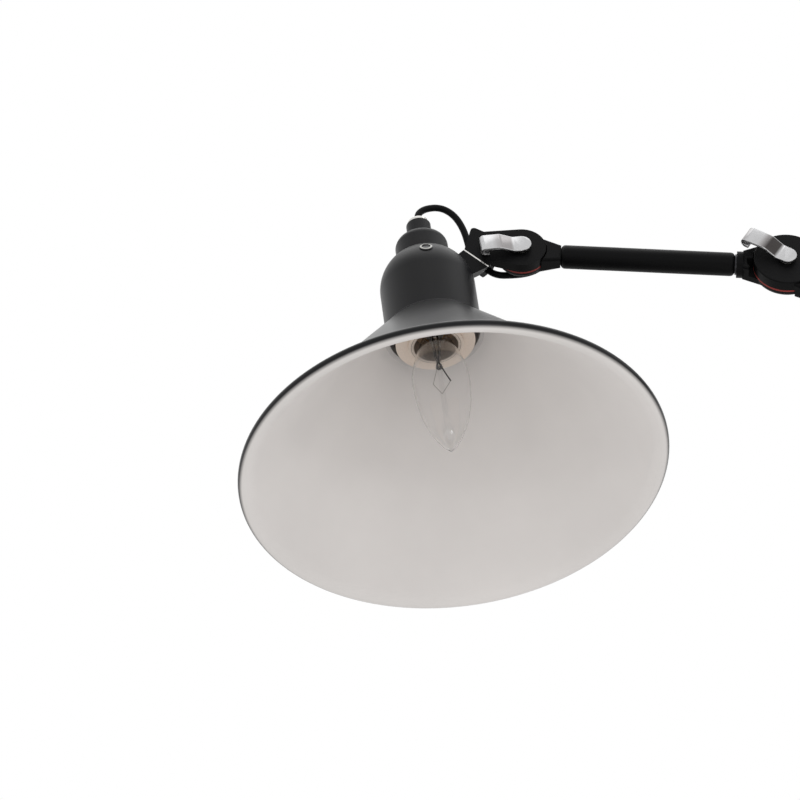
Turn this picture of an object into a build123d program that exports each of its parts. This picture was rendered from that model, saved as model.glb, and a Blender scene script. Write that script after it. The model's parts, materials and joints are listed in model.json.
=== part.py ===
from build123d import *
from dataclasses import dataclass
from math import acos, asin, atan2, cos, degrees, hypot, pi, radians, sin, tan
import os

# Adjustable wall lamp. Millimetres and degrees. The wall is the plane y = 0, the lamp reaches out
# along -Y, +Z is up, and the origin is the middle of the mounting bar's back face.
# Every hinge of the arms lies along X, with its clamp lever on the +X side.

# Rest pose: angles are above straight out from the wall
BASE_REACH = 62.0
REAR_ARM_LENGTH = 152.0
FOREARM_LENGTH = 152.0
REAR_ARM_ANGLE = 50.0
FOREARM_ANGLE = 3.5
DOME_REACH = 53.9
DOME_DROP = 27.8
LAMP_LEAN = 6.0

# Fits between pieces
RUN_GAP = 0.05
SEAT_GAP = 0.02
SHOULDER_GAP = 0.6
SHOULDER_RELIEF = 4.0

# Arm tubes
TUBE_DIAMETER = 13.6
TUBE_BORE = 9.6
TUBE_END_ROUND = 2.6
SPIGOT_LENGTH = 12.0
LEAD_HOLE = 5.0

# Half-lap joints
WASHER_THICKNESS = 1.2
BOLT_DIAMETER = 5.0
BOLT_HEAD_DIAMETER = 11.0
BOLT_HEAD_HEIGHT = 2.6
CAST_ROUND = 1.6
EDGE_ROUND = 0.7

# Swivels in line with the arms
COLLAR_DIAMETER = 15.3
COLLAR_LENGTH = 3.5
SWIVEL_WASHER = 1.0
SWIVEL_WASHER_DIAMETER = 12.0
PIN_DIAMETER = 7.0
PIN_BORE = 4.4
PIN_GROOVE_DEPTH = 0.6
PIN_END = 2.0
CLIP_THICKNESS = 1.0
CLIP_DIAMETER = 9.2
BUSH_LENGTH = 12.0

# Clamp levers
LEVER_WIDTH = 11.0
LEVER_THICKNESS = 1.6
LEVER_LIFT = 1.8
LEVER_RISE = 3.6
LEVER_FLAT = 5.0
LEVER_SLOPE_END = 12.5
LEVER_HOOK_CLEAR = 1.0
LEVER_HOOK_RETURN = 4.2
LEVER_BEND = 5.0
LEVER_HOOK_BEND = 2.2
LEVER_HUB_DIAMETER = 9.0
HEAD_LEVER_ANGLE = 187.0
ELBOW_LEVER_ANGLE = 149.0
BASE_LEVER_ANGLE = 120.0

# Wall base
CANOPY_DIAMETER = 114.0
CANOPY_DEPTH = 24.0
CANOPY_WALL = 1.2
CANOPY_ROUND = 7.0
BAR_LENGTH = 104.0
BAR_WIDTH = 20.0
BAR_THICKNESS = 2.0
WALL_HOLE_SPACING = 88.9
WALL_HOLE_DIAMETER = 4.5
STUD_SPACING = 66.0
STUD_DIAMETER = 4.0
CAP_NUT_WIDTH = 8.0
CAP_NUT_HEIGHT = 7.0
CAP_NUT_CROWN = 1.5
STEM_DIAMETER = 22.0
STEM_SHANK_DIAMETER = 12.8
STEM_SHANK_LENGTH = 15.0
LOCKNUT_WIDTH = 19.0
LOCKNUT_HEIGHT = 5.0
TERMINAL_SIZE = (16.0, 9.0, 12.0)
TERMINAL_OFFSET = 18.0
TERMINAL_HOLE = 3.4

# Head swivel: its axis meets the lamp head on the dome's shoulder
SWIVEL_REACH = 25.9
SWIVEL_DROP = 8.2
SWIVEL_ANGLE = 47.0
BLOCK_LENGTH = 19.1
BLOCK_BACK_LENGTH = 6.0
BLOCK_BACK = 5.5
BLOCK_RISE = 14.0
KNUCKLE_APEX = (-28.6, 16.2)
KNUCKLE_SHOULDER = (-21.6, 12.1)
KNUCKLE_WAIST = (-17.5, -9.3)
KNUCKLE_APEX_ROUND = 2.0
BRACKET_DRAW = 5.0
SWIVEL_PLATE = 0.8
STUD_DEPTH = 10.0
SWIVEL_STUD_DIAMETER = 5.0
SADDLE_DIAMETER = 14.0
SADDLE_DEPTH = 5.0
SWIVEL_NUT_WIDTH = 9.0
SWIVEL_NUT_HEIGHT = 4.0
STUD_TAIL = 1.0

# Lamp head, along its axis from the dome's centre
HOUSING_DIAMETER = 54.6
HOUSING_WALL = 1.2
HOUSING_LENGTH = 33.2
HOUSING_LIP = 1.0
LIP_THICKNESS = 1.0
CAP_DIAMETER = 30.4
CAP_TOP = 38.4
CAP_ROUND = 5.5
CAP_WALL = 1.4
GRIP_DIAMETER = 14.2
GRIP_HEIGHT = 12.9
GRIP_ROUND = 1.5
GRIP_SOCKET = 10.0
RING_DIAMETER = 12.0
RING_HEIGHT = 2.6
RING_ROUND = 0.8
NIPPLE_DIAMETER = 9.4
NIPPLE_BORE = 6.0
NIPPLE_TAIL = 3.0
CAP_NUT_AF = 14.0
CAP_NUT_THICKNESS = 4.0
SCREW_ELEVATION = 23.0
SCREW_HEAD_DIAMETER = 7.8
SCREW_HEAD_HEIGHT = 2.3
SCREW_DIAMETER = 3.8
SCREW_LENGTH = 6.0

# Shade
SHADE_DIAMETER = 240.7
SHADE_HEIGHT = 104.3
SHADE_SHEET = 1.0
RIM_ROLL = 3.2
RIM_TURN = 290.0

# Socket and its strap
STRAP_WIDTH = 8.0
STRAP_THICKNESS = 1.5
STRAP_DEPTH = 10.2
STRAP_HALF_FLAT = 15.0
STRAP_EAR = 4.0
STRAP_BEND = 2.5
SOCKET_DIAMETER = 28.6
SOCKET_MOUTH_BORE = 25.4
SOCKET_MOUTH_DEPTH = 12.0
SOCKET_FLOOR = 5.0
SOCKET_BOTTOM = 43.0
SOCKET_FLANGE_DIAMETER = 33.0
SOCKET_FLANGE = 2.0
PLATE_DIAMETER = 45.4
PLATE_THICKNESS = 1.0
SOCKET_RING_DIAMETER = 31.8
SOCKET_RING_HEIGHT = 2.6
SHELL_BORE = 12.1
SHELL_WALL = 0.5
SHELL_STAND = 3.0
CONTACT_DIAMETER = 5.0
CONTACT_HEIGHT = 1.5

# Bulb
BULB_BASE_DIAMETER = 11.7
BULB_BASE_LENGTH = 15.0
BULB_TIP_DIAMETER = 4.4
BULB_TIP_HEIGHT = 2.0
BULB_DIAMETER = 33.0
BULB_NECK_DIAMETER = 13.0
BULB_LENGTH = 87.0
BULB_BELLY = 36.0
BULB_WALL = 0.8
BULB_NUB = 2.4
STEM_GLASS_DIAMETER = 4.2
STEM_GLASS_LENGTH = 26.0
FILAMENT_WIRE = 0.6
FILAMENT_DROP = 19.0
FILAMENT_HALF_WIDTH = 4.4

# Lead on the lamp head: points from the head pivot, (x, y, z)
LEAD_DIAMETER = 4.0
CLIP_SEAT = 7.2
CLIP_RUN = 8.0
CLIP_RUN_IN = 7.0
CLIP_RUN_OUT = 4.6
CLIP_LENGTH = 5.0
CLIP_SPAN = 11.0
CLIP_WALL = 1.2
LEAD_BACK = 7.8
HEAD_LOOP = [
    (0.0, -60.2, 31.4),
    (-0.8, -55.8, 37.2),
    (-2.0, -46.6, 39.6),
    (-3.6, -38.8, 35.4),
    (-5.4, -33.4, 26.4),
    (-7.0, -30.4, 15.0),
]
JOINT_LOOP = [
    (-9.8, -4.6, -6.8),
    (-11.2, 3.6, -4.2),
    (-9.4, 10.2, -2.2),
]
LEAD_OUTLET = 19.5
LEAD_SINK = 4.4


@dataclass
class Joint:
    """Sizes of one half-lap joint: front and rear are depths from the seam along the hinge."""

    radius: float
    front: float
    rear: float
    rear_round: float
    neck_height: float
    neck_start: float
    lever_reach: float


HEAD_JOINT = Joint(
    radius=14.0, front=6.7, rear=5.0, rear_round=3.6, neck_height=19.5, neck_start=7.5, lever_reach=23.4
)
ARM_JOINT = Joint(
    radius=19.0, front=7.2, rear=5.6, rear_round=4.2, neck_height=26.0, neck_start=8.5, lever_reach=26.6
)

# Necks between an eye and the tube or collar: length from the hinge, height and width at the end
HEAD_NECK = (22.6, 11.6, 8.4)
REAR_NECK = (28.0, 9.6, 8.4)
SWIVEL_NECK = (25.0, 13.6, 11.4)

UP = (Align.CENTER, Align.CENTER, Align.MIN)
BELOW = (Align.CENTER, Align.MIN, Align.CENTER)


def post(radius, low, high):
    """Cylinder along local z between two heights."""
    return Pos(0, 0, low) * Cylinder(radius, high - low, align=UP)


def rod(radius, start, end):
    """Cylinder along local x between two stations."""
    return Plane((start, 0, 0), x_dir=(0, 1, 0), z_dir=(1, 0, 0)) * Cylinder(radius, end - start, align=UP)


def hex_nut(width, bore, low, high):
    """Hexagon nut along local z, width across flats."""
    outline = RegularPolygon(width / 2, 6, major_radius=False) - Circle(bore / 2)
    return Pos(0, 0, low) * extrude(outline, high - low)


def turned(*points):
    """Solid of revolution about local z from (radius, height) points."""
    return revolve(Plane.XZ * make_face(Polyline(*points, close=True)), Axis.Z)


def ball(radius):
    """Ball at the local origin."""
    return Sphere(radius)


def hinge_plane(pivot, angle):
    """Plane square to a hinge: x at an angle above straight out, z towards the levers."""
    out = (0, -cos(radians(angle)), sin(radians(angle)))
    return Plane(pivot, x_dir=out, z_dir=(1, 0, 0))


def arm_end(pivot, length, angle):
    """Far pivot of an arm."""
    return pivot + Vector(0, -length * cos(radians(angle)), length * sin(radians(angle)))


BASE_PIVOT = Vector(0, -BASE_REACH, 0)
ELBOW_PIVOT = arm_end(BASE_PIVOT, REAR_ARM_LENGTH, REAR_ARM_ANGLE)
HEAD_PIVOT = arm_end(ELBOW_PIVOT, FOREARM_LENGTH, FOREARM_ANGLE)
DOME_CENTRE = HEAD_PIVOT + Vector(0, -DOME_REACH, -DOME_DROP)
SWIVEL_CENTRE = HEAD_PIVOT + Vector(0, -SWIVEL_REACH, -SWIVEL_DROP)

BASE_WALLWARD = hinge_plane(BASE_PIVOT, 180)
BASE_OUT = hinge_plane(BASE_PIVOT, REAR_ARM_ANGLE)
ELBOW_BACK = hinge_plane(ELBOW_PIVOT, 180 + REAR_ARM_ANGLE)
ELBOW_OUT = hinge_plane(ELBOW_PIVOT, FOREARM_ANGLE)
HEAD_BACK = hinge_plane(HEAD_PIVOT, 180 + FOREARM_ANGLE)
KNUCKLE = Plane(HEAD_PIVOT, x_dir=(0, 1, 0), z_dir=(1, 0, 0))
SWIVEL = Plane(
    SWIVEL_CENTRE,
    x_dir=(1, 0, 0),
    z_dir=(0, cos(radians(SWIVEL_ANGLE)), sin(radians(SWIVEL_ANGLE))),
)
LAMP = Plane(
    DOME_CENTRE,
    x_dir=(1, 0, 0),
    z_dir=(0, -sin(radians(LAMP_LEAN)), cos(radians(LAMP_LEAN))),
)
WALL = Plane((0, 0, 0), x_dir=(1, 0, 0), z_dir=(0, -1, 0))

SEAM = WASHER_THICKNESS / 2
BOLT_HOLE = BOLT_DIAMETER / 2 + RUN_GAP
SWIVEL_NECK_LENGTH = SWIVEL_NECK[0]
COLLAR_END = SWIVEL_NECK_LENGTH + COLLAR_LENGTH
SWIVEL_SEAT = COLLAR_END + SWIVEL_WASHER
STEM_LENGTH = BASE_REACH - SWIVEL_SEAT - CANOPY_DEPTH

nodes = {}


def keep(name, frame, *solids):
    """Place a piece, or a group of like pieces, in the lamp's frame under its name."""
    placed = [frame.location * solid for solid in solids]
    nodes[name] = placed[0] if len(placed) == 1 else Compound(children=placed)


# Half-lap joints


def neck(joint, size):
    """Tapered cast neck from inside the eye to its end section."""
    length, height, width = size
    across = {"x_dir": (0, 1, 0), "z_dir": (1, 0, 0)}
    middle = (joint.front - joint.rear) / 2
    root = Plane((joint.neck_start, 0, middle), **across) * RectangleRounded(
        joint.neck_height, joint.front + joint.rear, CAST_ROUND
    )
    end = Plane((length, 0, 0), **across) * RectangleRounded(height, width, CAST_ROUND)
    return loft([root.face(), end.face()])


def front_eye(joint, size):
    """Front half of a joint with its neck, clear of the rear half."""
    face = SEAM + RUN_GAP
    eye = post(joint.radius, face, joint.front)
    eye = fillet(eye.faces().sort_by(Axis.Z)[-1].edges(), EDGE_ROUND)
    mate = post(joint.radius + SHOULDER_GAP, -2 * joint.rear, face)
    return eye + (neck(joint, size) - mate) - post(BOLT_HOLE, -joint.rear, joint.front)


def rear_eye(joint, size):
    """Rear half of a joint, rounded at the back, with its neck clear of the front half."""
    eye = post(joint.radius, -joint.rear, -SEAM)
    eye = fillet(eye.faces().sort_by(Axis.Z)[0].edges(), joint.rear_round)
    mate = post(joint.radius + SHOULDER_GAP, -SEAM, 2 * joint.front)
    return eye + (neck(joint, size) - mate) - post(BOLT_HOLE, -joint.rear, joint.front)


def lead_way(outlet, end):
    """Hole for the lead along a neck, and its slanted outlet at the back."""
    bore = rod(LEAD_HOLE / 2, outlet, end)
    mouth = Plane((outlet, 0, 0), x_dir=(0, 1, 0), z_dir=(-1, 0, -1)) * Cylinder(LEAD_HOLE / 2, outlet, align=UP)
    return bore + mouth + Pos(outlet, 0, 0) * ball(LEAD_HOLE / 2)


def tube_fitting(eye, length):
    """An eye with the spigot that goes into its tube."""
    end = length + SPIGOT_LENGTH
    return eye + rod(TUBE_BORE / 2 - SEAT_GAP, length, end)


def swivel_fitting(joint, pin_length):
    """A rear eye with the collar and grooved hollow pin of an in-line swivel, relieved under the front half."""
    end = COLLAR_END + pin_length
    reach = joint.radius + SHOULDER_RELIEF
    relief = post(reach, -SEAM, joint.front + SEAM) & Box(2 * reach, reach, 4 * joint.front, align=BELOW)
    groove = end - PIN_END - CLIP_THICKNESS - 2 * RUN_GAP
    body = rear_eye(joint, SWIVEL_NECK) - relief + rod(COLLAR_DIAMETER / 2, SWIVEL_NECK_LENGTH, COLLAR_END)
    body += rod(PIN_DIAMETER / 2, COLLAR_END, end)
    body -= rod(PIN_DIAMETER, groove, end - PIN_END) - rod(PIN_DIAMETER / 2 - PIN_GROOVE_DEPTH, groove, end)
    return body - lead_way(SWIVEL_NECK_LENGTH, COLLAR_END) - rod(PIN_BORE / 2, SWIVEL_NECK_LENGTH, end)


def swivel_clip(pin_length):
    """Retaining clip in the pin's groove."""
    back = COLLAR_END + pin_length - PIN_END - RUN_GAP
    ring = rod(CLIP_DIAMETER / 2, back - CLIP_THICKNESS, back)
    return ring - rod(PIN_DIAMETER / 2 - PIN_GROOVE_DEPTH + SEAT_GAP, back - CLIP_THICKNESS, back)


def swivel_washer():
    """Bright washer between a collar and what it turns against."""
    ring = rod(SWIVEL_WASHER_DIAMETER / 2, COLLAR_END + RUN_GAP, SWIVEL_SEAT)
    return ring - rod(PIN_DIAMETER / 2 + RUN_GAP, COLLAR_END, SWIVEL_SEAT)


def friction_washer(joint):
    """Fibre washer in the seam of a joint."""
    return post(joint.radius, -SEAM, SEAM) - post(BOLT_HOLE, -SEAM, SEAM)


def pivot_bolt(joint):
    """Bolt along the hinge, its round head at the back."""
    head = post(BOLT_HEAD_DIAMETER / 2, -joint.rear - BOLT_HEAD_HEIGHT, -joint.rear)
    head = fillet(head.faces().sort_by(Axis.Z)[0].edges(), 0.7 * BOLT_HEAD_HEIGHT)
    return head + post(BOLT_DIAMETER / 2, -joint.rear, joint.front + LEVER_LIFT - RUN_GAP)


def lever_hub(joint):
    """Nut under the lever, on the end of the bolt."""
    low = joint.front + RUN_GAP
    return post(LEVER_HUB_DIAMETER / 2, low, joint.front + LEVER_LIFT) - post(BOLT_HOLE, low, 2 * joint.front)


def clamp_lever(joint):
    """Strip lever: flat pad on the hub, double bend up to a thumb flat, and a hooked end."""
    pad = joint.front + LEVER_LIFT + LEVER_THICKNESS / 2
    top = pad + LEVER_RISE
    hook = joint.front + LEVER_HOOK_CLEAR + LEVER_THICKNESS / 2
    route = FilletPolyline(
        (-LEVER_WIDTH / 2, pad),
        (LEVER_FLAT, pad),
        (LEVER_SLOPE_END, top),
        (joint.lever_reach, top),
        (joint.lever_reach, hook),
        (joint.lever_reach - LEVER_HOOK_RETURN, hook),
        radius=[LEVER_BEND, LEVER_BEND, LEVER_HOOK_BEND, LEVER_HOOK_BEND],
    )
    strip = extrude(Plane.XZ * trace(route, LEVER_THICKNESS), LEVER_WIDTH / 2, both=True)
    plan = Circle(LEVER_WIDTH / 2) + Rectangle(2 * joint.lever_reach, LEVER_WIDTH, align=(Align.MIN, Align.CENTER))
    return strip & extrude(plan, top + joint.front)


def lever_plane(pivot, angle):
    """Plane of a lever: x along it, at an angle from the wall side."""
    return Plane(pivot, x_dir=(0, cos(radians(angle)), sin(radians(angle))), z_dir=(1, 0, 0))


def arm_tube(start, end):
    """Tube with rounded ends between two stations of an arm."""
    tube = rod(TUBE_DIAMETER / 2, start, end)
    tube = fillet(tube.edges().filter_by(GeomType.CIRCLE), TUBE_END_ROUND)
    return tube - rod(TUBE_BORE / 2, start, end)


def joint_hardware(name, joint, rear_frame, lever_frame):
    """Washer and bolt on the rear half of a joint, and its lever and hub."""
    keep(f"{name}_friction_washer", rear_frame, friction_washer(joint))
    keep(f"{name}_pivot_bolt", rear_frame, pivot_bolt(joint))
    keep(f"{name}_lever", lever_frame, clamp_lever(joint))
    keep(f"{name}_lever_hub", lever_frame, lever_hub(joint))


# Wall base: local z of the wall frame points into the room


def mounting_bar():
    """Flat bar that is screwed to the wall box."""
    outline = SlotOverall(BAR_LENGTH, BAR_WIDTH)
    for side in (-1, 1):
        outline -= Pos(side * WALL_HOLE_SPACING / 2, 0) * Circle(WALL_HOLE_DIAMETER / 2)
        outline -= Pos(side * STUD_SPACING / 2, 0) * Circle(STUD_DIAMETER / 2 + SEAT_GAP)
    return extrude(outline, BAR_THICKNESS)


def canopy():
    """Round cover of the wall box, open at the back."""
    shell = post(CANOPY_DIAMETER / 2, 0, CANOPY_DEPTH)
    shell = fillet(shell.faces().sort_by(Axis.Z)[-1].edges(), CANOPY_ROUND)
    hollow = post(CANOPY_DIAMETER / 2 - CANOPY_WALL, 0, CANOPY_DEPTH - CANOPY_WALL)
    hollow = fillet(hollow.faces().sort_by(Axis.Z)[-1].edges(), CANOPY_ROUND - CANOPY_WALL)
    shell -= hollow
    shell -= post(STEM_SHANK_DIAMETER / 2 + RUN_GAP, 0, CANOPY_DEPTH)
    for side in (-1, 1):
        shell -= Pos(side * STUD_SPACING / 2, 0) * post(STUD_DIAMETER / 2 + RUN_GAP, 0, CANOPY_DEPTH)
    return shell


def canopy_stud(side):
    """Threaded stud from the bar through the canopy."""
    top = CANOPY_DEPTH + CAP_NUT_HEIGHT - 2 * CAP_NUT_CROWN
    return Pos(side * STUD_SPACING / 2, 0) * post(STUD_DIAMETER / 2, 0, top)


def cap_nut(side):
    """Domed nut that holds the canopy."""
    top = CANOPY_DEPTH + CAP_NUT_HEIGHT
    crown = Pos(0, 0, CANOPY_DEPTH) * Cone(CAP_NUT_WIDTH, CAP_NUT_WIDTH / 5, CAP_NUT_HEIGHT, align=UP)
    nut = hex_nut(CAP_NUT_WIDTH, 0.1, CANOPY_DEPTH, top) + post(STUD_DIAMETER / 4, CANOPY_DEPTH, top)
    nut = nut & crown
    nut -= post(STUD_DIAMETER / 2 + SEAT_GAP, CANOPY_DEPTH, top - CAP_NUT_CROWN)
    return Pos(side * STUD_SPACING / 2, 0) * nut


def base_stem():
    """Post on the canopy that the arm's base swivels in."""
    flange = post(STEM_DIAMETER / 2, CANOPY_DEPTH, CANOPY_DEPTH + STEM_LENGTH)
    flange = fillet(flange.faces().sort_by(Axis.Z)[-1].edges(), CAST_ROUND)
    shank = post(STEM_SHANK_DIAMETER / 2, CANOPY_DEPTH - STEM_SHANK_LENGTH, CANOPY_DEPTH)
    return flange + shank - post(PIN_DIAMETER / 2 + RUN_GAP, 0, CANOPY_DEPTH + STEM_LENGTH)


def terminal_block():
    """Two-way connector on the bar."""
    length, depth, height = TERMINAL_SIZE
    block = Pos(TERMINAL_OFFSET, 0, BAR_THICKNESS) * Box(length, height, depth, align=UP)
    for side in (-1, 1):
        hole = Pos(TERMINAL_OFFSET + side * length / 4, 0, BAR_THICKNESS + depth / 2)
        block -= hole * Rot(90, 0, 0) * Cylinder(TERMINAL_HOLE / 2, 2 * height)
    return block


keep("mounting_bar", WALL, mounting_bar())
keep("canopy", WALL, canopy())
keep("canopy_studs", WALL, canopy_stud(-1), canopy_stud(1))
keep("canopy_nuts", WALL, cap_nut(-1), cap_nut(1))
keep("terminal_block", WALL, terminal_block())
keep("base_stem", WALL, base_stem())
locknut_top = CANOPY_DEPTH - CANOPY_WALL
keep(
    "base_locknut",
    WALL,
    hex_nut(LOCKNUT_WIDTH, STEM_SHANK_DIAMETER + 2 * SEAT_GAP, locknut_top - LOCKNUT_HEIGHT, locknut_top),
)

# Base knuckle, rear arm and elbow

BASE_PIN = SWIVEL_WASHER + STEM_LENGTH + STEM_SHANK_LENGTH + CLIP_THICKNESS + 2 * RUN_GAP + PIN_END
keep("base_swivel_washer", BASE_WALLWARD, swivel_washer())
keep("base_knuckle", BASE_WALLWARD, swivel_fitting(ARM_JOINT, BASE_PIN))
keep("base_swivel_clip", BASE_WALLWARD, swivel_clip(BASE_PIN))
joint_hardware("base", ARM_JOINT, BASE_WALLWARD, lever_plane(BASE_PIVOT, BASE_LEVER_ANGLE))

rear_fitting = tube_fitting(front_eye(ARM_JOINT, REAR_NECK), REAR_NECK[0])
rear_fitting -= lead_way(REAR_NECK[0], REAR_NECK[0] + SPIGOT_LENGTH)
keep("rear_arm_base_eye", BASE_OUT, rear_fitting)
keep("rear_arm_elbow_eye", ELBOW_BACK, rear_fitting)
keep("rear_arm_tube", BASE_OUT, arm_tube(REAR_NECK[0], REAR_ARM_LENGTH - REAR_NECK[0]))

FOREARM_PIN = SWIVEL_WASHER + BUSH_LENGTH + CLIP_THICKNESS + 2 * RUN_GAP + PIN_END
keep("elbow_knuckle", ELBOW_OUT, swivel_fitting(ARM_JOINT, FOREARM_PIN))
keep("forearm_swivel_clip", ELBOW_OUT, swivel_clip(FOREARM_PIN))
joint_hardware("elbow", ARM_JOINT, ELBOW_OUT, lever_plane(ELBOW_PIVOT, ELBOW_LEVER_ANGLE))

# Forearm

forearm_bush = rod(TUBE_BORE / 2 - SEAT_GAP, SWIVEL_SEAT, SWIVEL_SEAT + BUSH_LENGTH)
forearm_bush -= rod(PIN_DIAMETER / 2 + RUN_GAP, SWIVEL_SEAT, SWIVEL_SEAT + BUSH_LENGTH)
keep("forearm_swivel_washer", ELBOW_OUT, swivel_washer())
keep("forearm_bush", ELBOW_OUT, forearm_bush)
keep("forearm_tube", ELBOW_OUT, arm_tube(SWIVEL_SEAT, FOREARM_LENGTH - HEAD_NECK[0]))
head_fitting = tube_fitting(rear_eye(HEAD_JOINT, HEAD_NECK), HEAD_NECK[0])
keep("forearm_head_eye", HEAD_BACK, head_fitting - lead_way(LEAD_OUTLET, HEAD_NECK[0] + SPIGOT_LENGTH))
joint_hardware("head", HEAD_JOINT, HEAD_BACK, lever_plane(HEAD_PIVOT, HEAD_LEVER_ANGLE))

# Head knuckle and swivel


def tangent_point(point, radius, turn):
    """Where a line from a point touches a circle round the origin, on the side given by turn."""
    angle = atan2(point[1], point[0]) + turn * acos(radius / hypot(*point))
    return (radius * cos(angle), radius * sin(angle))


def swivel_section(drawn=0):
    """Keystone section of the swivel block: wide at the front, narrow at the back; the lower end may be drawn in."""
    half = BLOCK_LENGTH / 2
    back = BLOCK_BACK_LENGTH / 2
    front = HEAD_JOINT.front
    corners = [(front, -half), (front, half - drawn), (-BLOCK_BACK, back - drawn), (-BLOCK_BACK, -back)]
    return make_face(Polyline(*corners, close=True))


def swivel_corner(side):
    """End of the swivel's front edge, seen from the head pivot in the knuckle plane."""
    half = side * BLOCK_LENGTH / 2
    along = radians(SWIVEL_ANGLE)
    return (-SWIVEL_REACH + half * sin(along), -SWIVEL_DROP - half * cos(along))


def head_knuckle():
    """Front eye of the head joint with the block that the lamp head turns on."""
    face = SEAM + RUN_GAP
    outline = make_face(
        Polyline(
            swivel_corner(-1),
            KNUCKLE_APEX,
            KNUCKLE_SHOULDER,
            tangent_point(KNUCKLE_SHOULDER, HEAD_JOINT.radius, -1),
            tangent_point(KNUCKLE_WAIST, HEAD_JOINT.radius, 1),
            KNUCKLE_WAIST,
            close=True,
        )
    )
    outline = fillet(outline.vertices().sort_by_distance(KNUCKLE_APEX)[0], KNUCKLE_APEX_ROUND)
    plate = Pos(0, 0, face) * extrude(outline + Circle(HEAD_JOINT.radius), HEAD_JOINT.front - face)
    body = KNUCKLE.location * plate + SWIVEL.location * extrude(swivel_section(), BLOCK_RISE)
    body -= KNUCKLE.location * post(HEAD_JOINT.radius + SHOULDER_GAP, -2 * BLOCK_BACK, face)
    body -= KNUCKLE.location * post(BOLT_HOLE, 0, HEAD_JOINT.front)
    return body - SWIVEL.location * post(SWIVEL_STUD_DIAMETER / 2 + SEAT_GAP, 0, STUD_DEPTH)


def dome(radius):
    """Solid of the housing's dome and side at a radius, in the lamp's frame."""
    return ball(radius) + post(radius, -HOUSING_LENGTH, 0)


HERE = Plane((0, 0, 0))
HOUSING_RADIUS = HOUSING_DIAMETER / 2
INNER_RADIUS = HOUSING_RADIUS - HOUSING_WALL
STUD_HOLE = SWIVEL_STUD_DIAMETER / 2 + RUN_GAP
swivel_to_dome = SWIVEL.to_local_coords(DOME_CENTRE)
wall_station = swivel_to_dome.Z + (INNER_RADIUS**2 - swivel_to_dome.Y**2) ** 0.5
saddle_low = wall_station - SADDLE_DEPTH
nut_low = saddle_low - RUN_GAP - SWIVEL_NUT_HEIGHT

bracket_top = -RUN_GAP - SWIVEL_PLATE
bracket_low = swivel_to_dome.Z + INNER_RADIUS / 2
bracket = loft([Pos(0, 0, bracket_top) * swivel_section(), Pos(0, 0, bracket_low) * swivel_section(BRACKET_DRAW)])
bracket -= post(STUD_HOLE, swivel_to_dome.Z, 0)
bracket = SWIVEL.location * bracket - LAMP.location * dome(HOUSING_RADIUS)
plate = extrude(swivel_section(), -SWIVEL_PLATE) - post(STUD_HOLE, -SWIVEL_PLATE, 0)
saddle = post(SADDLE_DIAMETER / 2, saddle_low, 0) - post(STUD_HOLE, saddle_low, 0)

keep("head_knuckle", HERE, head_knuckle())
keep("head_bracket", HERE, bracket.solids().sort_by(SortBy.VOLUME)[-1])
keep("head_swivel_plate", SWIVEL, Pos(0, 0, -RUN_GAP) * plate)
keep("head_swivel_stud", SWIVEL, post(SWIVEL_STUD_DIAMETER / 2, nut_low - STUD_TAIL, STUD_DEPTH - RUN_GAP))
keep("head_swivel_saddle", HERE, SWIVEL.location * saddle & LAMP.location * dome(INNER_RADIUS))
keep(
    "head_swivel_nut",
    SWIVEL,
    hex_nut(SWIVEL_NUT_WIDTH, SWIVEL_STUD_DIAMETER + 2 * SEAT_GAP, nut_low, nut_low + SWIVEL_NUT_HEIGHT),
)

# Lamp head


def screw_frame(side):
    """Frame at the dome's centre with z through a housing screw."""
    along = radians(SCREW_ELEVATION)
    return Plane((0, 0, 0), x_dir=(0, 1, 0), z_dir=(side * cos(along), 0, sin(along)))


def housing_screw(side):
    """Button-head screw through the dome into the socket strap."""
    head = post(SCREW_HEAD_DIAMETER / 2, HOUSING_RADIUS, HOUSING_RADIUS + SCREW_HEAD_HEIGHT)
    head = fillet(head.faces().sort_by(Axis.Z)[-1].edges(), 0.85 * SCREW_HEAD_HEIGHT)
    shank = post(SCREW_DIAMETER / 2, HOUSING_RADIUS - SCREW_LENGTH, HOUSING_RADIUS)
    return screw_frame(side).location * (head + shank)


def screw_hole(side):
    """Clearance for a housing screw."""
    return screw_frame(side).location * post(SCREW_DIAMETER / 2 + RUN_GAP, 0, 2 * HOUSING_RADIUS)


def housing_lip():
    """Lower edge of the housing, turned out under the shade's slope."""
    top = -HOUSING_LENGTH
    drop = HOUSING_LIP / tan(SHADE_SLOPE)
    return turned(
        (INNER_RADIUS, top),
        (HOUSING_RADIUS, top),
        (HOUSING_RADIUS, top - SEAT_GAP),
        (HOUSING_RADIUS + HOUSING_LIP, top - SEAT_GAP - drop),
        (HOUSING_RADIUS + HOUSING_LIP, top - SEAT_GAP - drop - LIP_THICKNESS),
        (INNER_RADIUS, top - SEAT_GAP - LIP_THICKNESS),
    )


def lamp_housing():
    """Dome-topped shell with an out-turned lip that carries the shade."""
    shell = dome(HOUSING_RADIUS)
    shell -= dome(INNER_RADIUS)
    shell += housing_lip()
    shell -= post(NIPPLE_DIAMETER / 2 + RUN_GAP, 0, 2 * HOUSING_RADIUS)
    shell -= screw_hole(-1) + screw_hole(1)
    hole = SWIVEL.location * post(STUD_HOLE, swivel_to_dome.Z, 0)
    return LAMP.location * shell - hole


def housing_cap():
    """Cup on top of the dome with a rounded shoulder."""
    cup = post(CAP_DIAMETER / 2, 0, CAP_TOP)
    cup = fillet(cup.faces().sort_by(Axis.Z)[-1].edges(), CAP_ROUND)
    hollow = post(CAP_DIAMETER / 2 - CAP_WALL, 0, CAP_TOP - CAP_WALL)
    hollow = fillet(hollow.faces().sort_by(Axis.Z)[-1].edges(), CAP_ROUND - CAP_WALL)
    return cup - hollow - ball(HOUSING_RADIUS) - post(NIPPLE_DIAMETER / 2 + RUN_GAP, 0, CAP_TOP)


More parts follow.
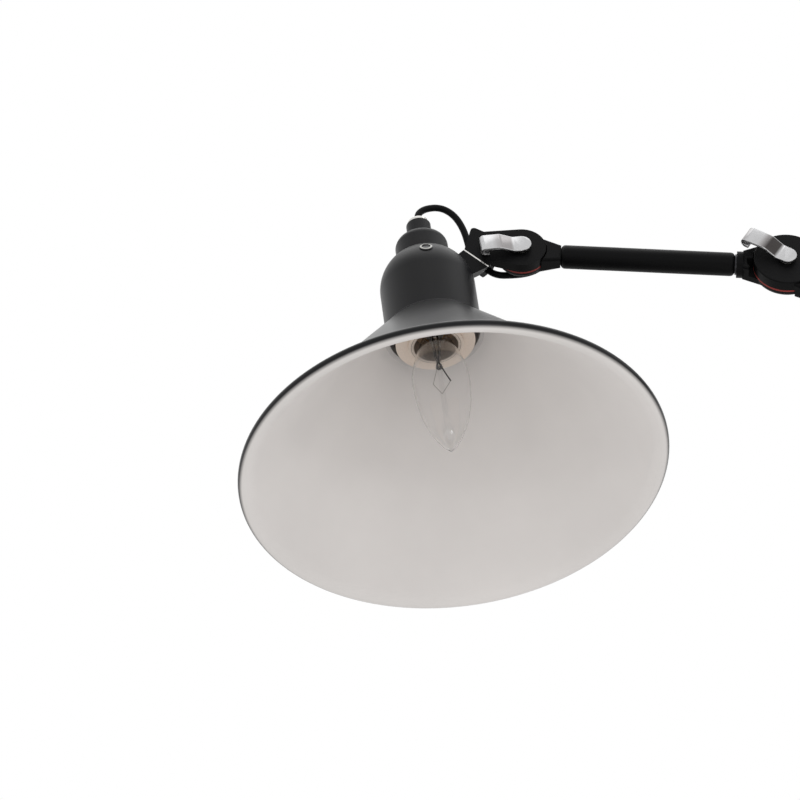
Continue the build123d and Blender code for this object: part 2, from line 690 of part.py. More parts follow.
def cord_grip():
    """Turned grip above the cap that closes on the lead."""
    top = CAP_TOP + GRIP_HEIGHT
    grip = post(GRIP_DIAMETER / 2, CAP_TOP, top)
    grip = fillet(grip.faces().sort_by(Axis.Z)[-1].edges(), GRIP_ROUND / 2)
    grip -= post(NIPPLE_DIAMETER / 2 + SEAT_GAP, CAP_TOP, CAP_TOP + GRIP_SOCKET)
    return grip - post(LEAD_HOLE / 2, CAP_TOP, top)


def grip_ring():
    """Bright ring round the lead on top of the grip."""
    low = CAP_TOP + GRIP_HEIGHT
    ring = post(RING_DIAMETER / 2, low, low + RING_HEIGHT)
    ring = fillet(ring.faces().sort_by(Axis.Z)[-1].edges(), RING_ROUND)
    return ring - post(LEAD_HOLE / 2, low, low + RING_HEIGHT)


def cap_nipple():
    """Threaded tube that holds cap and grip on the dome."""
    low = CAP_NUT_LOW - NIPPLE_TAIL
    high = CAP_TOP + GRIP_SOCKET - RUN_GAP
    return post(NIPPLE_DIAMETER / 2, low, high) - post(NIPPLE_BORE / 2, low, high)


def socket_strap():
    """Bent strip across the housing between the two screws; it carries the socket."""
    seat = INNER_RADIUS - STRAP_THICKNESS
    slope = radians(SCREW_ELEVATION)
    ear = (seat * cos(slope), seat * sin(slope))
    rise = (STRAP_EAR * sin(slope), STRAP_EAR * cos(slope))
    half = [
        (ear[0] - rise[0], ear[1] + rise[1]),
        (ear[0] + rise[0], ear[1] - rise[1]),
        (STRAP_HALF_FLAT, -STRAP_DEPTH),
    ]
    other = [(-x, z) for x, z in reversed(half)]
    route = FilletPolyline(*half, *other, radius=STRAP_BEND)
    strip = extrude(Plane.XZ * trace(route, STRAP_THICKNESS), STRAP_WIDTH / 2, both=True)
    return strip - screw_hole(-1) - screw_hole(1)


COLLAR_RADIUS = HOUSING_RADIUS + SEAT_GAP
RIM_RADIUS = SHADE_DIAMETER / 2 - RIM_ROLL
RIM_HEIGHT = RIM_ROLL - HOUSING_LENGTH - SHADE_HEIGHT
RIM_REACH = hypot(RIM_RADIUS - COLLAR_RADIUS, -HOUSING_LENGTH - RIM_HEIGHT)
SHADE_SLOPE = atan2(RIM_RADIUS - COLLAR_RADIUS, -HOUSING_LENGTH - RIM_HEIGHT) - asin(RIM_ROLL / RIM_REACH)

CAP_NUT_CORNER = CAP_NUT_AF / 2 / cos(pi / 6)
CAP_NUT_HIGH = (INNER_RADIUS**2 - CAP_NUT_CORNER**2) ** 0.5 - SEAT_GAP
CAP_NUT_LOW = CAP_NUT_HIGH - CAP_NUT_THICKNESS
keep("lamp_housing", HERE, lamp_housing())
keep("housing_cap", LAMP, housing_cap())
keep("cord_grip", LAMP, cord_grip())
keep("cord_grip_ring", LAMP, grip_ring())
keep("cap_nipple", LAMP, cap_nipple())
keep("cap_locknut", LAMP, hex_nut(CAP_NUT_AF, NIPPLE_DIAMETER + 2 * SEAT_GAP, CAP_NUT_LOW, CAP_NUT_HIGH))
keep("housing_screws", LAMP, housing_screw(-1), housing_screw(1))
keep("socket_strap", LAMP, socket_strap())


def lamp_shade():
    """Spun cone that sits on the housing's lip, its rim rolled outwards from the inner face."""
    run = (RIM_REACH**2 - RIM_ROLL**2) ** 0.5
    along = Vector(sin(SHADE_SLOPE), -cos(SHADE_SLOPE))
    outward = Vector(cos(SHADE_SLOPE), sin(SHADE_SLOPE))
    top = Vector(COLLAR_RADIUS, -HOUSING_LENGTH)
    low = top + along * run
    sheet = make_face(Polyline(top, low, low + outward * SHADE_SHEET, top + outward * SHADE_SHEET, close=True))
    start = degrees(SHADE_SLOPE) + 180
    curl = CenterArc((RIM_RADIUS, RIM_HEIGHT), RIM_ROLL, start, RIM_TURN)
    core = CenterArc((RIM_RADIUS, RIM_HEIGHT), RIM_ROLL - SHADE_SHEET, start, RIM_TURN)
    roll = make_face([curl, core, Line(curl @ 0, core @ 0), Line(curl @ 1, core @ 1)])
    return revolve(Plane.XZ * (sheet + roll), Axis.Z)


SOCKET_TOP = -STRAP_DEPTH - STRAP_THICKNESS / 2
PLATE_LOW = -SOCKET_BOTTOM + SOCKET_RING_HEIGHT - SEAT_GAP
PLATE_HIGH = PLATE_LOW + PLATE_THICKNESS
SHELL_TOP = SOCKET_TOP - SOCKET_FLOOR
SHELL_LOW = -SOCKET_BOTTOM + SOCKET_MOUTH_DEPTH - SHELL_STAND
SHELL_RADIUS = SHELL_BORE / 2 + SHELL_WALL


def socket_body():
    """Moulded socket with a wide mouth and a flange that the pale plate seats on."""
    body = post(SOCKET_DIAMETER / 2, -SOCKET_BOTTOM, SOCKET_TOP)
    body += post(SOCKET_FLANGE_DIAMETER / 2, PLATE_HIGH, PLATE_HIGH + SOCKET_FLANGE)
    body -= post(SOCKET_MOUTH_BORE / 2, -SOCKET_BOTTOM, -SOCKET_BOTTOM + SOCKET_MOUTH_DEPTH)
    return body - post(SHELL_RADIUS + SEAT_GAP, -SOCKET_BOTTOM, SHELL_TOP)


def socket_plate():
    """Pale round plate that closes the housing round the socket."""
    return post(PLATE_DIAMETER / 2, PLATE_LOW, PLATE_HIGH) - post(SOCKET_DIAMETER / 2 + SEAT_GAP, PLATE_LOW, PLATE_HIGH)


def socket_ring():
    """Threaded ring that clamps the plate against the socket."""
    low = -SOCKET_BOTTOM
    high = PLATE_LOW
    ring = post(SOCKET_RING_DIAMETER / 2, low, high)
    ring = fillet(ring.faces().sort_by(Axis.Z)[0].edges(), CAST_ROUND / 4)
    return ring - post(SOCKET_DIAMETER / 2 + SEAT_GAP, low, high)


BULB_BASE_TOP = SHELL_TOP - CONTACT_HEIGHT - BULB_TIP_HEIGHT
GLASS_TOP = BULB_BASE_TOP - BULB_BASE_LENGTH
GLASS_LOW = GLASS_TOP - BULB_LENGTH
STEM_LOW = GLASS_TOP - STEM_GLASS_LENGTH


def flame(shrink):
    """Candle-shaped solid of the bulb, drawn in by a wall."""
    neck_radius = BULB_NECK_DIAMETER / 2 - shrink
    belly = (BULB_DIAMETER / 2 - shrink, GLASS_TOP - BULB_BELLY)
    tip = (BULB_NUB / 2, GLASS_LOW + shrink)
    side = Spline(
        (neck_radius, GLASS_TOP),
        belly,
        tip,
        tangents=[(0.35, -1), (0, -1), (-0.8, -1)],
        tangent_scalars=[1, 1, 1],
    )
    outline = side + Polyline(tip, (0, tip[1]), (0, GLASS_TOP), (neck_radius, GLASS_TOP))
    return revolve(Plane.XZ * make_face(outline), Axis.Z)


def bulb_base():
    """Screw base with its centre contact."""
    base = post(BULB_BASE_DIAMETER / 2, GLASS_TOP, BULB_BASE_TOP)
    base = fillet(base.faces().sort_by(Axis.Z)[-1].edges(), CAST_ROUND)
    return base + post(BULB_TIP_DIAMETER / 2, BULB_BASE_TOP, BULB_BASE_TOP + BULB_TIP_HEIGHT)


def bulb_stem():
    """Glass stem that carries the filament wires."""
    stem = post(STEM_GLASS_DIAMETER / 2, STEM_LOW, GLASS_TOP)
    return fillet(stem.faces().sort_by(Axis.Z)[0].edges(), STEM_GLASS_DIAMETER / 4)


def bulb_filament():
    """Filament and its two support wires below the stem, one bent wire."""
    low = STEM_LOW - SEAT_GAP
    route = FilletPolyline(
        (0, -STEM_GLASS_DIAMETER / 4, low),
        (0, -FILAMENT_HALF_WIDTH, low - FILAMENT_DROP / 2),
        (0, 0, low - FILAMENT_DROP),
        (0, FILAMENT_HALF_WIDTH, low - FILAMENT_DROP / 2),
        (0, STEM_GLASS_DIAMETER / 4, low),
        radius=FILAMENT_WIRE,
    )
    return sweep(Plane(route @ 0, z_dir=route % 0) * Circle(FILAMENT_WIRE / 2), path=route)


keep("lamp_shade", LAMP, lamp_shade())
keep("socket_body", LAMP, socket_body())
keep("socket_plate", LAMP, socket_plate())
keep("socket_ring", LAMP, socket_ring())
keep("socket_shell", LAMP, post(SHELL_RADIUS, SHELL_LOW, SHELL_TOP) - post(SHELL_BORE / 2, SHELL_LOW, SHELL_TOP))
keep("socket_contact", LAMP, post(CONTACT_DIAMETER / 2, SHELL_TOP - CONTACT_HEIGHT, SHELL_TOP))
keep("bulb_glass", LAMP, flame(0) - flame(BULB_WALL))
keep("bulb_base", LAMP, bulb_base())
keep("bulb_stem", LAMP, bulb_stem())
keep("bulb_filament", LAMP, bulb_filament())

# Lead


def lead_tube(points, label):
    """Round lead along straight runs joined by arcs as large as the runs allow; prints its radii."""
    corners = [Vector(*p) for p in points]
    radii = []
    for before, here, after in zip(corners, corners[1:], corners[2:]):
        turn = (here - before).get_angle(after - here)
        shorter = min((here - before).length, (after - here).length)
        radii.append(0.45 * shorter / tan(radians(turn / 2)))
    path = FilletPolyline(*corners, radius=radii)
    tube = sweep(Plane(path @ 0, z_dir=path % 0) * Circle(LEAD_DIAMETER / 2), path=path)
    drift = tube.volume / (path.length * pi * LEAD_DIAMETER**2 / 4) - 1
    print(label, "length", round(path.length, 1), "volume off by", round(drift, 5))
    print(label, "radii", [round(r, 1) for r in radii])
    return tube


def from_pivot(points):
    """Points given from the head pivot, in the lamp's frame."""
    return [HEAD_PIVOT + Vector(*p) for p in points]


lead_top = LAMP.from_local_coords(Vector(0, 0, CAP_TOP + GRIP_HEIGHT + RING_HEIGHT))


def clip_station(along):
    """Point on the lead's line through its clip."""
    return SWIVEL.from_local_coords(Vector(-LEAD_BACK, along, CLIP_SEAT))


clip_in = clip_station(-CLIP_RUN / 2)
clip_out = clip_station(CLIP_RUN / 2)
clip_before = clip_station(-CLIP_RUN / 2 - CLIP_RUN_IN)
clip_after = clip_station(CLIP_RUN / 2 + CLIP_RUN_OUT)
outlet = HEAD_BACK.from_local_coords(Vector(LEAD_OUTLET - LEAD_SINK, 0, -LEAD_SINK))

clip_run = Plane(clip_in, z_dir=clip_out - clip_in) * Cylinder(LEAD_DIAMETER / 2, CLIP_RUN, align=UP)
clip_depth = LEAD_BACK + LEAD_DIAMETER / 2 + CLIP_WALL - BLOCK_BACK
clip_block = Pos(-BLOCK_BACK, 0, CLIP_SEAT) * Box(
    clip_depth, CLIP_LENGTH, CLIP_SPAN, align=(Align.MAX, Align.CENTER, Align.CENTER)
)
clip_edges = clip_block.edges().filter_by(Axis.Y).group_by(Axis.X)[0]
clip_block = fillet(clip_edges, CLIP_SPAN / 4)
clip_hole = Pos(-LEAD_BACK, 0, CLIP_SEAT) * Rot(90, 0, 0) * Cylinder(LEAD_DIAMETER / 2 + RUN_GAP, 2 * CLIP_LENGTH)

keep("lead_clip", SWIVEL, clip_block - clip_hole)
keep("lead_clip_run", HERE, clip_run)
keep("lead_head_loop", HERE, lead_tube([lead_top, *from_pivot(HEAD_LOOP), clip_before, clip_in], "head loop"))
keep("lead_joint_loop", HERE, lead_tube([clip_out, clip_after, *from_pivot(JOINT_LOOP), outlet], "joint loop"))

os.makedirs("parts", exist_ok=True)
for name, piece in nodes.items():
    export_step(piece, f"parts/{name}.step")
print(len(nodes), "nodes")
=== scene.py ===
"""Dresses the adjustable wall lamp: finishes, shade, lead, bulb, socket, screws and a plain studio."""

import json
import math

import bpy
from bpy.props import FloatProperty, FloatVectorProperty, IntProperty, PointerProperty
from bpy.types import Operator, Panel, PropertyGroup
from mathutils import Matrix, Vector


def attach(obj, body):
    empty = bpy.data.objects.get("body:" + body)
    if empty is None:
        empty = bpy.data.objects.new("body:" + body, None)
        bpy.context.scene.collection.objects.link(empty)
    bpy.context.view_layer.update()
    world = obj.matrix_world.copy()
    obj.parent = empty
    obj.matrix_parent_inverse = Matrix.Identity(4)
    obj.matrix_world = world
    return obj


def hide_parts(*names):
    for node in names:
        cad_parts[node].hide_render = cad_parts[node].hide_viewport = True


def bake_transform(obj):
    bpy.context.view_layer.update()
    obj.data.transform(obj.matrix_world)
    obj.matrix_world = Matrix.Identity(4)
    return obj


bl_info = {
    "name": "Adjustable wall lamp",
    "version": (1, 0, 0),
    "blender": (4, 5, 0),
    "location": "View3D > Sidebar > Lamp",
    "description": "Finishes, shade, lead, bulb and studio for a jointed wall lamp",
    "category": "Object",
}

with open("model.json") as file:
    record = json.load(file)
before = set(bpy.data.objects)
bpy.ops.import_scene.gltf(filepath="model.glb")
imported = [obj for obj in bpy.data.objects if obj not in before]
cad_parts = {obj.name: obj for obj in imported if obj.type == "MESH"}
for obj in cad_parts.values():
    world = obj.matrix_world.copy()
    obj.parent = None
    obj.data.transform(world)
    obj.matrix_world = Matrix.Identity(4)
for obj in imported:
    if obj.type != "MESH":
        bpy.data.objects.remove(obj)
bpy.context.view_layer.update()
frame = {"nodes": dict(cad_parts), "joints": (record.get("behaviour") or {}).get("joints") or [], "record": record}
NODES = frame["nodes"]
JOINTS = {joint["name"]: joint for joint in frame["joints"]}

MM = 0.001
WHITE = (1, 1, 1, 1)
HEAD_PIVOT = Vector(JOINTS["head_tilt"]["pos_m"])
SWIVEL_CENTRE = Vector(JOINTS["head_turn"]["pos_m"])
SWIVEL_AXIS = Vector(JOINTS["head_turn"]["axis"]).normalized()
LEVER_AXIS = Vector((1, 0, 0))
SWIVEL_ALONG = SWIVEL_AXIS.cross(LEVER_AXIS)

# The lamp head's own frame: origin at the dome's centre, z up the lamp's axis
LAMP_LEAN = math.radians(6.0)
DOME_CENTRE = HEAD_PIVOT + Vector((0, -53.9, -27.8)) * MM
LAMP_FRAME = Matrix.Translation(DOME_CENTRE) @ Matrix.Rotation(LAMP_LEAN, 4, "X")

# The lead's route, from the head pivot in millimetres, and its straight run through the clip
LEAD_RING_TOP = 53.9
HEAD_LOOP = [
    (0.0, -60.2, 31.4),
    (-0.8, -55.8, 37.2),
    (-2.0, -46.6, 39.6),
    (-3.6, -38.8, 35.4),
    (-5.4, -33.4, 26.4),
    (-7.0, -30.4, 15.0),
]
JOINT_LOOP = [
    (-9.8, -4.6, -6.8),
    (-11.2, 3.6, -4.2),
    (-9.4, 10.2, -2.2),
]
LEAD_BACK = 7.8
CLIP_SEAT = 7.2
CLIP_RUN = 8.0
CLIP_RUN_IN = 7.0
CLIP_RUN_OUT = 4.6
LEAD_OUTLET = (-4.4, 15.1, -0.9)
TUBE_ORDER = 3
TUBE_STEPS = 10
TUBE_ROUND = 6

# Where the white inside ends on the rolled rim, in degrees from level seen along it, and how far it fades
WHITE_ENDS = -52
WHITE_FADE = 18
# Steps along the shade's section, and the angle of each step round the bead at its hole
CONE_STEPS = 6
FLARE_STEPS = 8
ROLL_STEPS = 36
BEAD_STEPS = 7
BEAD_ANGLE = 25
SLOPE_TRIES = 30

# Bulb: radius, and drop from the glass's top, which lies below the dome's centre, in millimetres
GLASS_TOP = -34.45
GLASS_FACETS = 48
GLASS_PROFILE = [
    (6.5, 0.0), (8.1, 4.3), (9.7, 8.6), (11.3, 12.9), (12.9, 17.2), (14.2, 21.6), (15.4, 26.0),
    (16.2, 30.6), (16.5, 36.0), (16.3, 42.0), (15.7, 48.9), (14.7, 55.7), (13.2, 62.4), (11.1, 69.0),
    (8.4, 75.3), (5.2, 81.4), (2.8, 84.6), (1.6, 85.7), (1.3, 86.5), (0.7, 87.0),
]
STEM_FACETS = 24
STEM_PROFILE = [
    (5.0, 0.3), (3.4, 4.0), (2.5, 9.0), (2.1, 15.0), (1.5, 20.0), (1.3, 22.0), (2.0, 24.0),
    (2.1, 25.0), (1.2, 26.0),
]
STEM_END = GLASS_TOP - 26.0
# Wires, from the stem's end; a point given twice keeps its corner sharp
FILAMENT_ROUTE = [
    (-0.6, -1.4, 0.6),
    (-1.2, -4.6, -10.0),
    (-1.2, -4.6, -10.0),
    (0.0, -0.4, -18.6),
    (0.0, -0.4, -18.6),
    (1.2, 5.2, -10.4),
]
LEAD_IN_ROUTE = [(0.6, 0.8, 3.0), (0.8, 1.4, 0.0), (1.2, 5.2, -10.4)]
STEM_WIRES = [
    [(0.5, -0.9, 24.0), (0.4, -0.9, 12.0), (0.2, 0.1, 5.0), (-0.3, -0.8, 1.0)],
    [(0.5, 0.9, 24.0), (0.4, 0.9, 12.0), (0.5, -0.2, 5.0), (0.6, 0.7, 1.0)],
]

# Threads of the socket's shell and of the bulb's base, between heights along the lamp's axis
SHELL_SPAN = (-34.0, -15.95)
SHELL_BORE = 12.1
SHELL_WALL = 0.5
BASE_SPAN = (-34.45, -19.45)
BASE_DIAMETER = 11.7
THREAD_DEPTH = 0.7
THREAD_STEPS = 8
THREAD_FACETS = 40
# Ends of the base: share of its width and rise of each step, at the glass and at the contact
BASE_ENDS = [
    (BASE_SPAN[0], [(0.2, 0)]),
    (BASE_SPAN[1], [(0.85, 0.6), (0.45, 0.2), (0.4, 1.2), (0.2, 0)]),
]

# Screws of the housing: profile from the shank's end to the middle of the head, from the dome's face
DOME_RADIUS = 27.3
SCREW_ELEVATION = 23.0
SCREW_FACETS = 40
SCREW_PROFILE = [
    (1.9, -6.0), (1.9, 0.0), (3.8, 0.0), (3.9, 0.08), (3.85, 0.22), (3.5, 0.45), (3.0, 0.62),
    (2.6, 0.7), (2.2, 0.74),
]
# The key's socket and the head's edge take the dark steel as painted shade; a face this share of the key from the
# axis is in the socket
SCREW_EDGE = 0.4
SCREW_KEY = 4.7
SCREW_KEY_DEPTH = 0.45
SCREW_KEY_SHARE = 0.56

# Levers: the joint each sits on, its turn from the wall side, and how dark the painted shade on its slope is
LEVERS = {
    "head_lever": ("head_tilt", 187.0, 0.62),
    "elbow_lever": ("elbow_bend", 149.0, 0.12),
    "base_lever": ("base_tilt", 120.0, 0.4),
}
LEVER_EDGE_STEPS = 2
LEVER_EDGE_ANGLE = 50
# Across a lever: where its face turns to the painted highlight along its edge
LEVER_HIGHLIGHT = (4.9, 5.2)
# Along a lever: share of its span, and share of the painted shade there; the painted shade is also warmer
LEVER_SPAN = 28.0
LEVER_SHADE = [
    (0.0, 0.0), (0.16, 0.0), (0.22, 1.0), (0.42, 1.0), (0.52, 0.5), (0.62, 0.05), (0.85, 0.0), (0.95, 0.5),
]
SHADE_TINT = (1.0, 0.9, 0.87)

# Pale grey-white in the housing's mouth: within this radius or under this seat, fading out at the top
MOUTH_RADIUS = 26.7
MOUTH_SEAT = -33.3
MOUTH_TOP = -12.0
MOUTH_ACROSS = (25.5, 28.4)
MOUTH_SHARE = (0.75, 0.8)
# Socket: radii of its bore, of its pale face and of the joint round it, with the share of colour in each
SOCKET_REACH = 20.0
SOCKET_STEPS = [
    (12.2, "phenolic", 1.0),
    (12.5, "phenolic", 0.3),
    (12.8, "ivory", 0.95),
    (14.0, "ivory", 0.95),
    (14.2, "phenolic", 0.35),
]

# Black paint: a satin that mirrors little head on and much at a glance, with grain sizes in millimetres
BLACK_GLOSS = 0.2
CAST_GLOSS = 0.08
BLACK_CLOUD = 30
BLACK_PEEL = 0.7
BLACK_TONES = (0.85, 1.15)
BLACK_ROUGH = (0.34, 0.42)
BLACK_RELIEF = (0.02, 0.3)
# Rings left by spinning the shade; a wave texture repeats every 0.314 of its scaled length
SPUN_PITCH = 2.4
SPUN_DEPTH = 0.006
WAVE_PITCH = 0.314
# The span of a noise that counts, and the sockets of a colour mix
GRAIN_SPAN = (0.3, 0.7)
MIX_FIRST, MIX_SECOND, MIX_RESULT = 6, 7, 2

# Edges flatter than this are shaded smooth, in degrees
SMOOTH = {"sheet": 35, "tube": 50, "lever": 40, "base": 40, "screw": 32}
# Points this close are one, faces this flat are one, and rings this far off are wrong
WELD = MM / 1000
FLAT = math.radians(1)
RING_SLACK = MM / 100

# Softboxes: place from the dome's centre and width, in metres, and power in watts
SOFTBOXES = {
    "overhead_softbox": ((0.2, 0.1, 1.6), 1.8, 9),
    "low_softbox": ((0.5, 0.1, -1.5), 1.2, 2.5),
    "small_softbox": ((1.25, 0.47, -0.43), 0.1, 0.8),
}
CAMERA_AIM = Vector((0, -0.38125, 0.01475))
SENSOR = 36
FLOOR_SIZE = 8


def linear(code):
    """Linear colour of an sRGB hex code."""
    values = [int(code[i : i + 2], 16) / 255 for i in (1, 3, 5)]
    return tuple(v / 12.92 if v <= 0.04045 else ((v + 0.055) / 1.055) ** 2.4 for v in values)


def colour(name, code):
    """Colour property with an sRGB hex default."""
    return FloatVectorProperty(name=name, description=f"{name} as painted or made", subtype="COLOR",
                               size=3, min=0, max=1, default=linear(code))


def length(name, millimetres):
    """Length property with its default in millimetres."""
    return FloatProperty(name=name, description=f"{name} of the real piece", unit="LENGTH",
                         min=0, default=millimetres * MM)


def angle(name, description, degrees):
    """Angle property with its default in degrees."""
    return FloatProperty(name=name, description=description, subtype="ANGLE", default=math.radians(degrees))


def reach(name, description, metres):
    """Length property of the studio, in metres."""
    return FloatProperty(name=name, description=description, unit="LENGTH", default=metres)


class LampSizes(PropertyGroup):
    """Sizes of the pieces that are modelled here."""

    shade_diameter: length("Shade diameter", 240.7)
    shade_seat: length("Shade seat below the dome's centre", 33.2)
    shade_height: length("Shade height", 104.3)
    shade_hole: length("Hole of the shade", 54.64)
    shade_sheet: length("Shade sheet", 1.0)
    rim_roll: length("Radius of the rolled rim", 3.2)
    rim_turn: angle("Rim turn", "How far round the rim is rolled", 290)
    flare: length("Radius of the flare before the rim", 18.0)
    flare_turn: angle("Flare turn", "How far the flare opens before the rim", 22)
    bead: length("Radius of the bead round the shade's hole", 0.7)
    lever_edge: length("Broken edge of the levers", 0.35)
    lead_diameter: length("Lead diameter", 4.0)
    glass_wall: length("Bulb glass", 0.5)
    filament_wire: length("Filament", 0.32)
    support_wire: length("Lead-in wire", 0.8)
    thread_pitch: length("Screw thread pitch", 2.82)
    shade_facets: IntProperty(name="Shade facets", description="Sides of the shade's circle",
                              min=24, default=160)


class LampColours(PropertyGroup):
    """Colours of the finishes."""

    black_paint: colour("Black paint", "#111113")
    cast_paint: colour("Black paint on castings", "#0B0B0C")
    white_paint: colour("White paint", "#ECE8E6")
    nickel: colour("Satin nickel", "#C4C4C5")
    plating: colour("Bright plating", "#D9D7D3")
    zinc: colour("Zinc plate", "#A6A5A1")
    # Dark steel for the bulb's wires, and for painted shade in screw sockets and between turning faces
    oiled: colour("Oiled steel", "#3A3A3C")
    fibre: colour("Red fibre", "#93302A")
    brass: colour("Brass", "#B98A50")
    phenolic: colour("Brown phenolic", "#A2866C")
    ivory: colour("Ivory plastic", "#E2D3C6")
    sheath: colour("Lead sheath", "#0D0D0E")
    tungsten: colour("Tungsten", "#A8A49E")
    floor: colour("Floor", "#E4E3E1")


class LampStage(PropertyGroup):
    """Camera and lights of the studio."""

    camera_distance: reach("Camera distance", "From the aim point", 2.9267)
    camera_elevation: angle("Camera elevation", "Above the horizon", -41.33)
    camera_lens: FloatProperty(name="Lens", description="Focal length on the sensor", default=234.9)
    floor_drop: reach("Floor drop", "Floor below the wall plate", 2.0)
    floor_lift: FloatProperty(name="Floor lift", default=0.36,
                              description="Light added to the floor as the camera sees it")
    ambient: FloatProperty(name="Ambient light", description="Strength of the soft light all round",
                           default=0.74)


def sizes():
    """The sizes as set in the scene."""
    return bpy.context.scene.lamp_sizes


def colours():
    """The colours as set in the scene."""
    return bpy.context.scene.lamp_colours


# Nodes


def new_material(name):
    """Empty node material with its main shader."""
    material = bpy.data.materials.new(name)
    material.use_nodes = True
    tree = material.node_tree
    return material, tree, tree.nodes["Principled BSDF"]


def add(tree, kind, inputs=None, **settings):
    """Adds a node; an input may be a value or another node's output."""
    node = tree.nodes.new(kind)
    for key, value in settings.items():
        setattr(node, key, value)
    for key, value in (inputs or {}).items():
        if isinstance(value, bpy.types.NodeSocket):
            tree.links.new(value, node.inputs[key])
        else:
            node.inputs[key].default_value = value
    return node


def calc(tree, operation, first, second):
    """Result of one operation on two values."""
    return add(tree, "ShaderNodeMath", {0: first, 1: second}, operation=operation).outputs[0]


def between(tree, value, start, end, low=0.0, high=1.0):
    """Value that runs from low to high while another runs from start to end."""
    span = {"Value": value, "From Min": start, "From Max": end, "To Min": low, "To Max": high}
    return add(tree, "ShaderNodeMapRange", span).outputs["Result"]


def mixed(tree, factor, first, second, kind="MIX"):
    """Colour between two others by a factor, or another kind of mix."""
    inputs = {"Factor": factor, MIX_FIRST: first, MIX_SECOND: second}
    return add(tree, "ShaderNodeMix", inputs, data_type="RGBA", blend_type=kind).outputs[MIX_RESULT]


def wire(tree, shader, **links):
    """Links values to the shader's sockets by name, with underscores for spaces."""
    for name, output in links.items():
        tree.links.new(output, shader.inputs[name.replace("_", " ")])


def per_mm(size):
    """Texture scale whose features are about this many millimetres."""
    return 1 / (size * MM)


def shade_of(rgb, factor):
    """The colour made lighter or darker, with alpha."""
    return (*(min(1, v * factor) for v in rgb), 1)


def about(tree, centre, turn):
    """Object coordinates from a centre, turned about the hinges' direction."""
    place = add(tree, "ShaderNodeTexCoord")
    laid = {"Vector": place.outputs["Object"], "Location": centre, "Rotation": (turn, 0, 0)}
    return add(tree, "ShaderNodeMapping", laid, vector_type="TEXTURE").outputs["Vector"]


def lamp_stations(tree):
    """Height along the lamp's axis above the dome's centre, and the distance from that axis."""
    parts = add(tree, "ShaderNodeSeparateXYZ", {"Vector": about(tree, DOME_CENTRE, LAMP_LEAN)})
    level = add(tree, "ShaderNodeCombineXYZ", {"X": parts.outputs["X"], "Y": parts.outputs["Y"]})
    aside = add(tree, "ShaderNodeVectorMath", {0: level.outputs["Vector"]}, operation="LENGTH")
    return parts.outputs["Z"], aside.outputs["Value"]


def grain(tree, size, thin=(1, 1, 1), turn=0.0, detail=3.0):
    """Noise with a grain of real size on object coordinates, drawn thinner or turned about the hinges."""
    place = add(tree, "ShaderNodeTexCoord")
    laid = {"Vector": place.outputs["Object"], "Rotation": (turn, 0, 0), "Scale": thin}
    laid = add(tree, "ShaderNodeMapping", laid, vector_type="TEXTURE")
    noise = {"Vector": laid.outputs["Vector"], "Scale": per_mm(size), "Detail": detail}
    return add(tree, "ShaderNodeTexNoise", noise)


def tone(tree, source, rgb, low, high):
    """Colour that wanders between two tones of one colour with a noise."""
    ramp = add(tree, "ShaderNodeValToRGB", {"Fac": source.outputs["Fac"]})
    for element, mark, factor in zip(ramp.color_ramp.elements, GRAIN_SPAN, (low, high)):
        element.position = mark
        element.color = shade_of(rgb, factor)
    return ramp.outputs["Color"]


def spread(tree, source, low, high):
    """Value that wanders between two numbers with a noise."""
    return between(tree, source.outputs["Fac"], *GRAIN_SPAN, low, high)


def relief(tree, source, depth, strength):
    """Bump of a real depth in millimetres."""
    height = {"Height": source.outputs["Fac"], "Distance": depth * MM, "Strength": strength}
    return add(tree, "ShaderNodeBump", height).outputs["Normal"]


# Finishes


def plain_finish(name, rgb, size, tones, rough, metal=0, gloss=None, bump=None, **laid):
    """Finish whose colour and gloss wander with one grain; bump is a relief's grain, depth and strength."""
    material, tree, shader = new_material(name)
    film = grain(tree, size, **laid)
    shader.inputs["Metallic"].default_value = metal
    if gloss is not None:
        shader.inputs["Specular IOR Level"].default_value = gloss
    wire(tree, shader, Base_Color=tone(tree, film, rgb, *tones), Roughness=spread(tree, film, *rough))
    if bump:
        peel, depth, strength = bump
        wire(tree, shader, Normal=relief(tree, grain(tree, peel, **laid), depth, strength))
    return material


def satin_black_paint():
    """Stoved satin paint on cast and drawn metal: near black, with a fine orange peel in its highlights."""
    return plain_finish("satin_black_paint", colours().black_paint, BLACK_CLOUD, BLACK_TONES, BLACK_ROUGH,
                        gloss=BLACK_GLOSS, bump=(BLACK_PEEL, *BLACK_RELIEF))


def cast_black_paint():
    """The same stoved black on castings and arm tubes, darker and less glossy, with a cast skin's peel."""
    return plain_finish("cast_black_paint", colours().cast_paint, size=14, tones=(0.8, 1.2),
                        rough=(0.42, 0.52), gloss=CAST_GLOSS, bump=(0.9, 0.03, 0.35))


def bright_plating():
    """Polished plated steel with faint handling haze."""
    return plain_finish("bright_plating", colours().plating, size=4, tones=(0.95, 1.03), rough=(0.1, 0.2),
                        metal=1)


def zinc_plate():
    """Zinc-plated steel hardware: cool grey with a mottled passivated film."""
    return plain_finish("zinc_plate", colours().zinc, size=3, tones=(0.8, 1.1), rough=(0.32, 0.5), metal=1)


def oiled_steel():
    """Dark steel: the bulb's dark wires, and painted shade in a screw's socket and between turning faces."""
    return plain_finish("oiled_steel", colours().oiled, size=2, tones=(0.7, 1.3), rough=(0.3, 0.45),
                        metal=1)


def red_fibre():
    """Vulcanised fibre: dull red with short matted fibres."""
    return plain_finish("red_fibre", colours().fibre, size=0.8, tones=(0.75, 1.15), rough=(0.65, 0.85),
                        bump=(0.8, 0.05, 0.5), thin=(1, 1, 0.35), detail=6)


def plain_brass():
    """Rolled brass, a little tarnished."""
    return plain_finish("plain_brass", colours().brass, size=5, tones=(0.75, 1.05), rough=(0.25, 0.45),
                        metal=1)


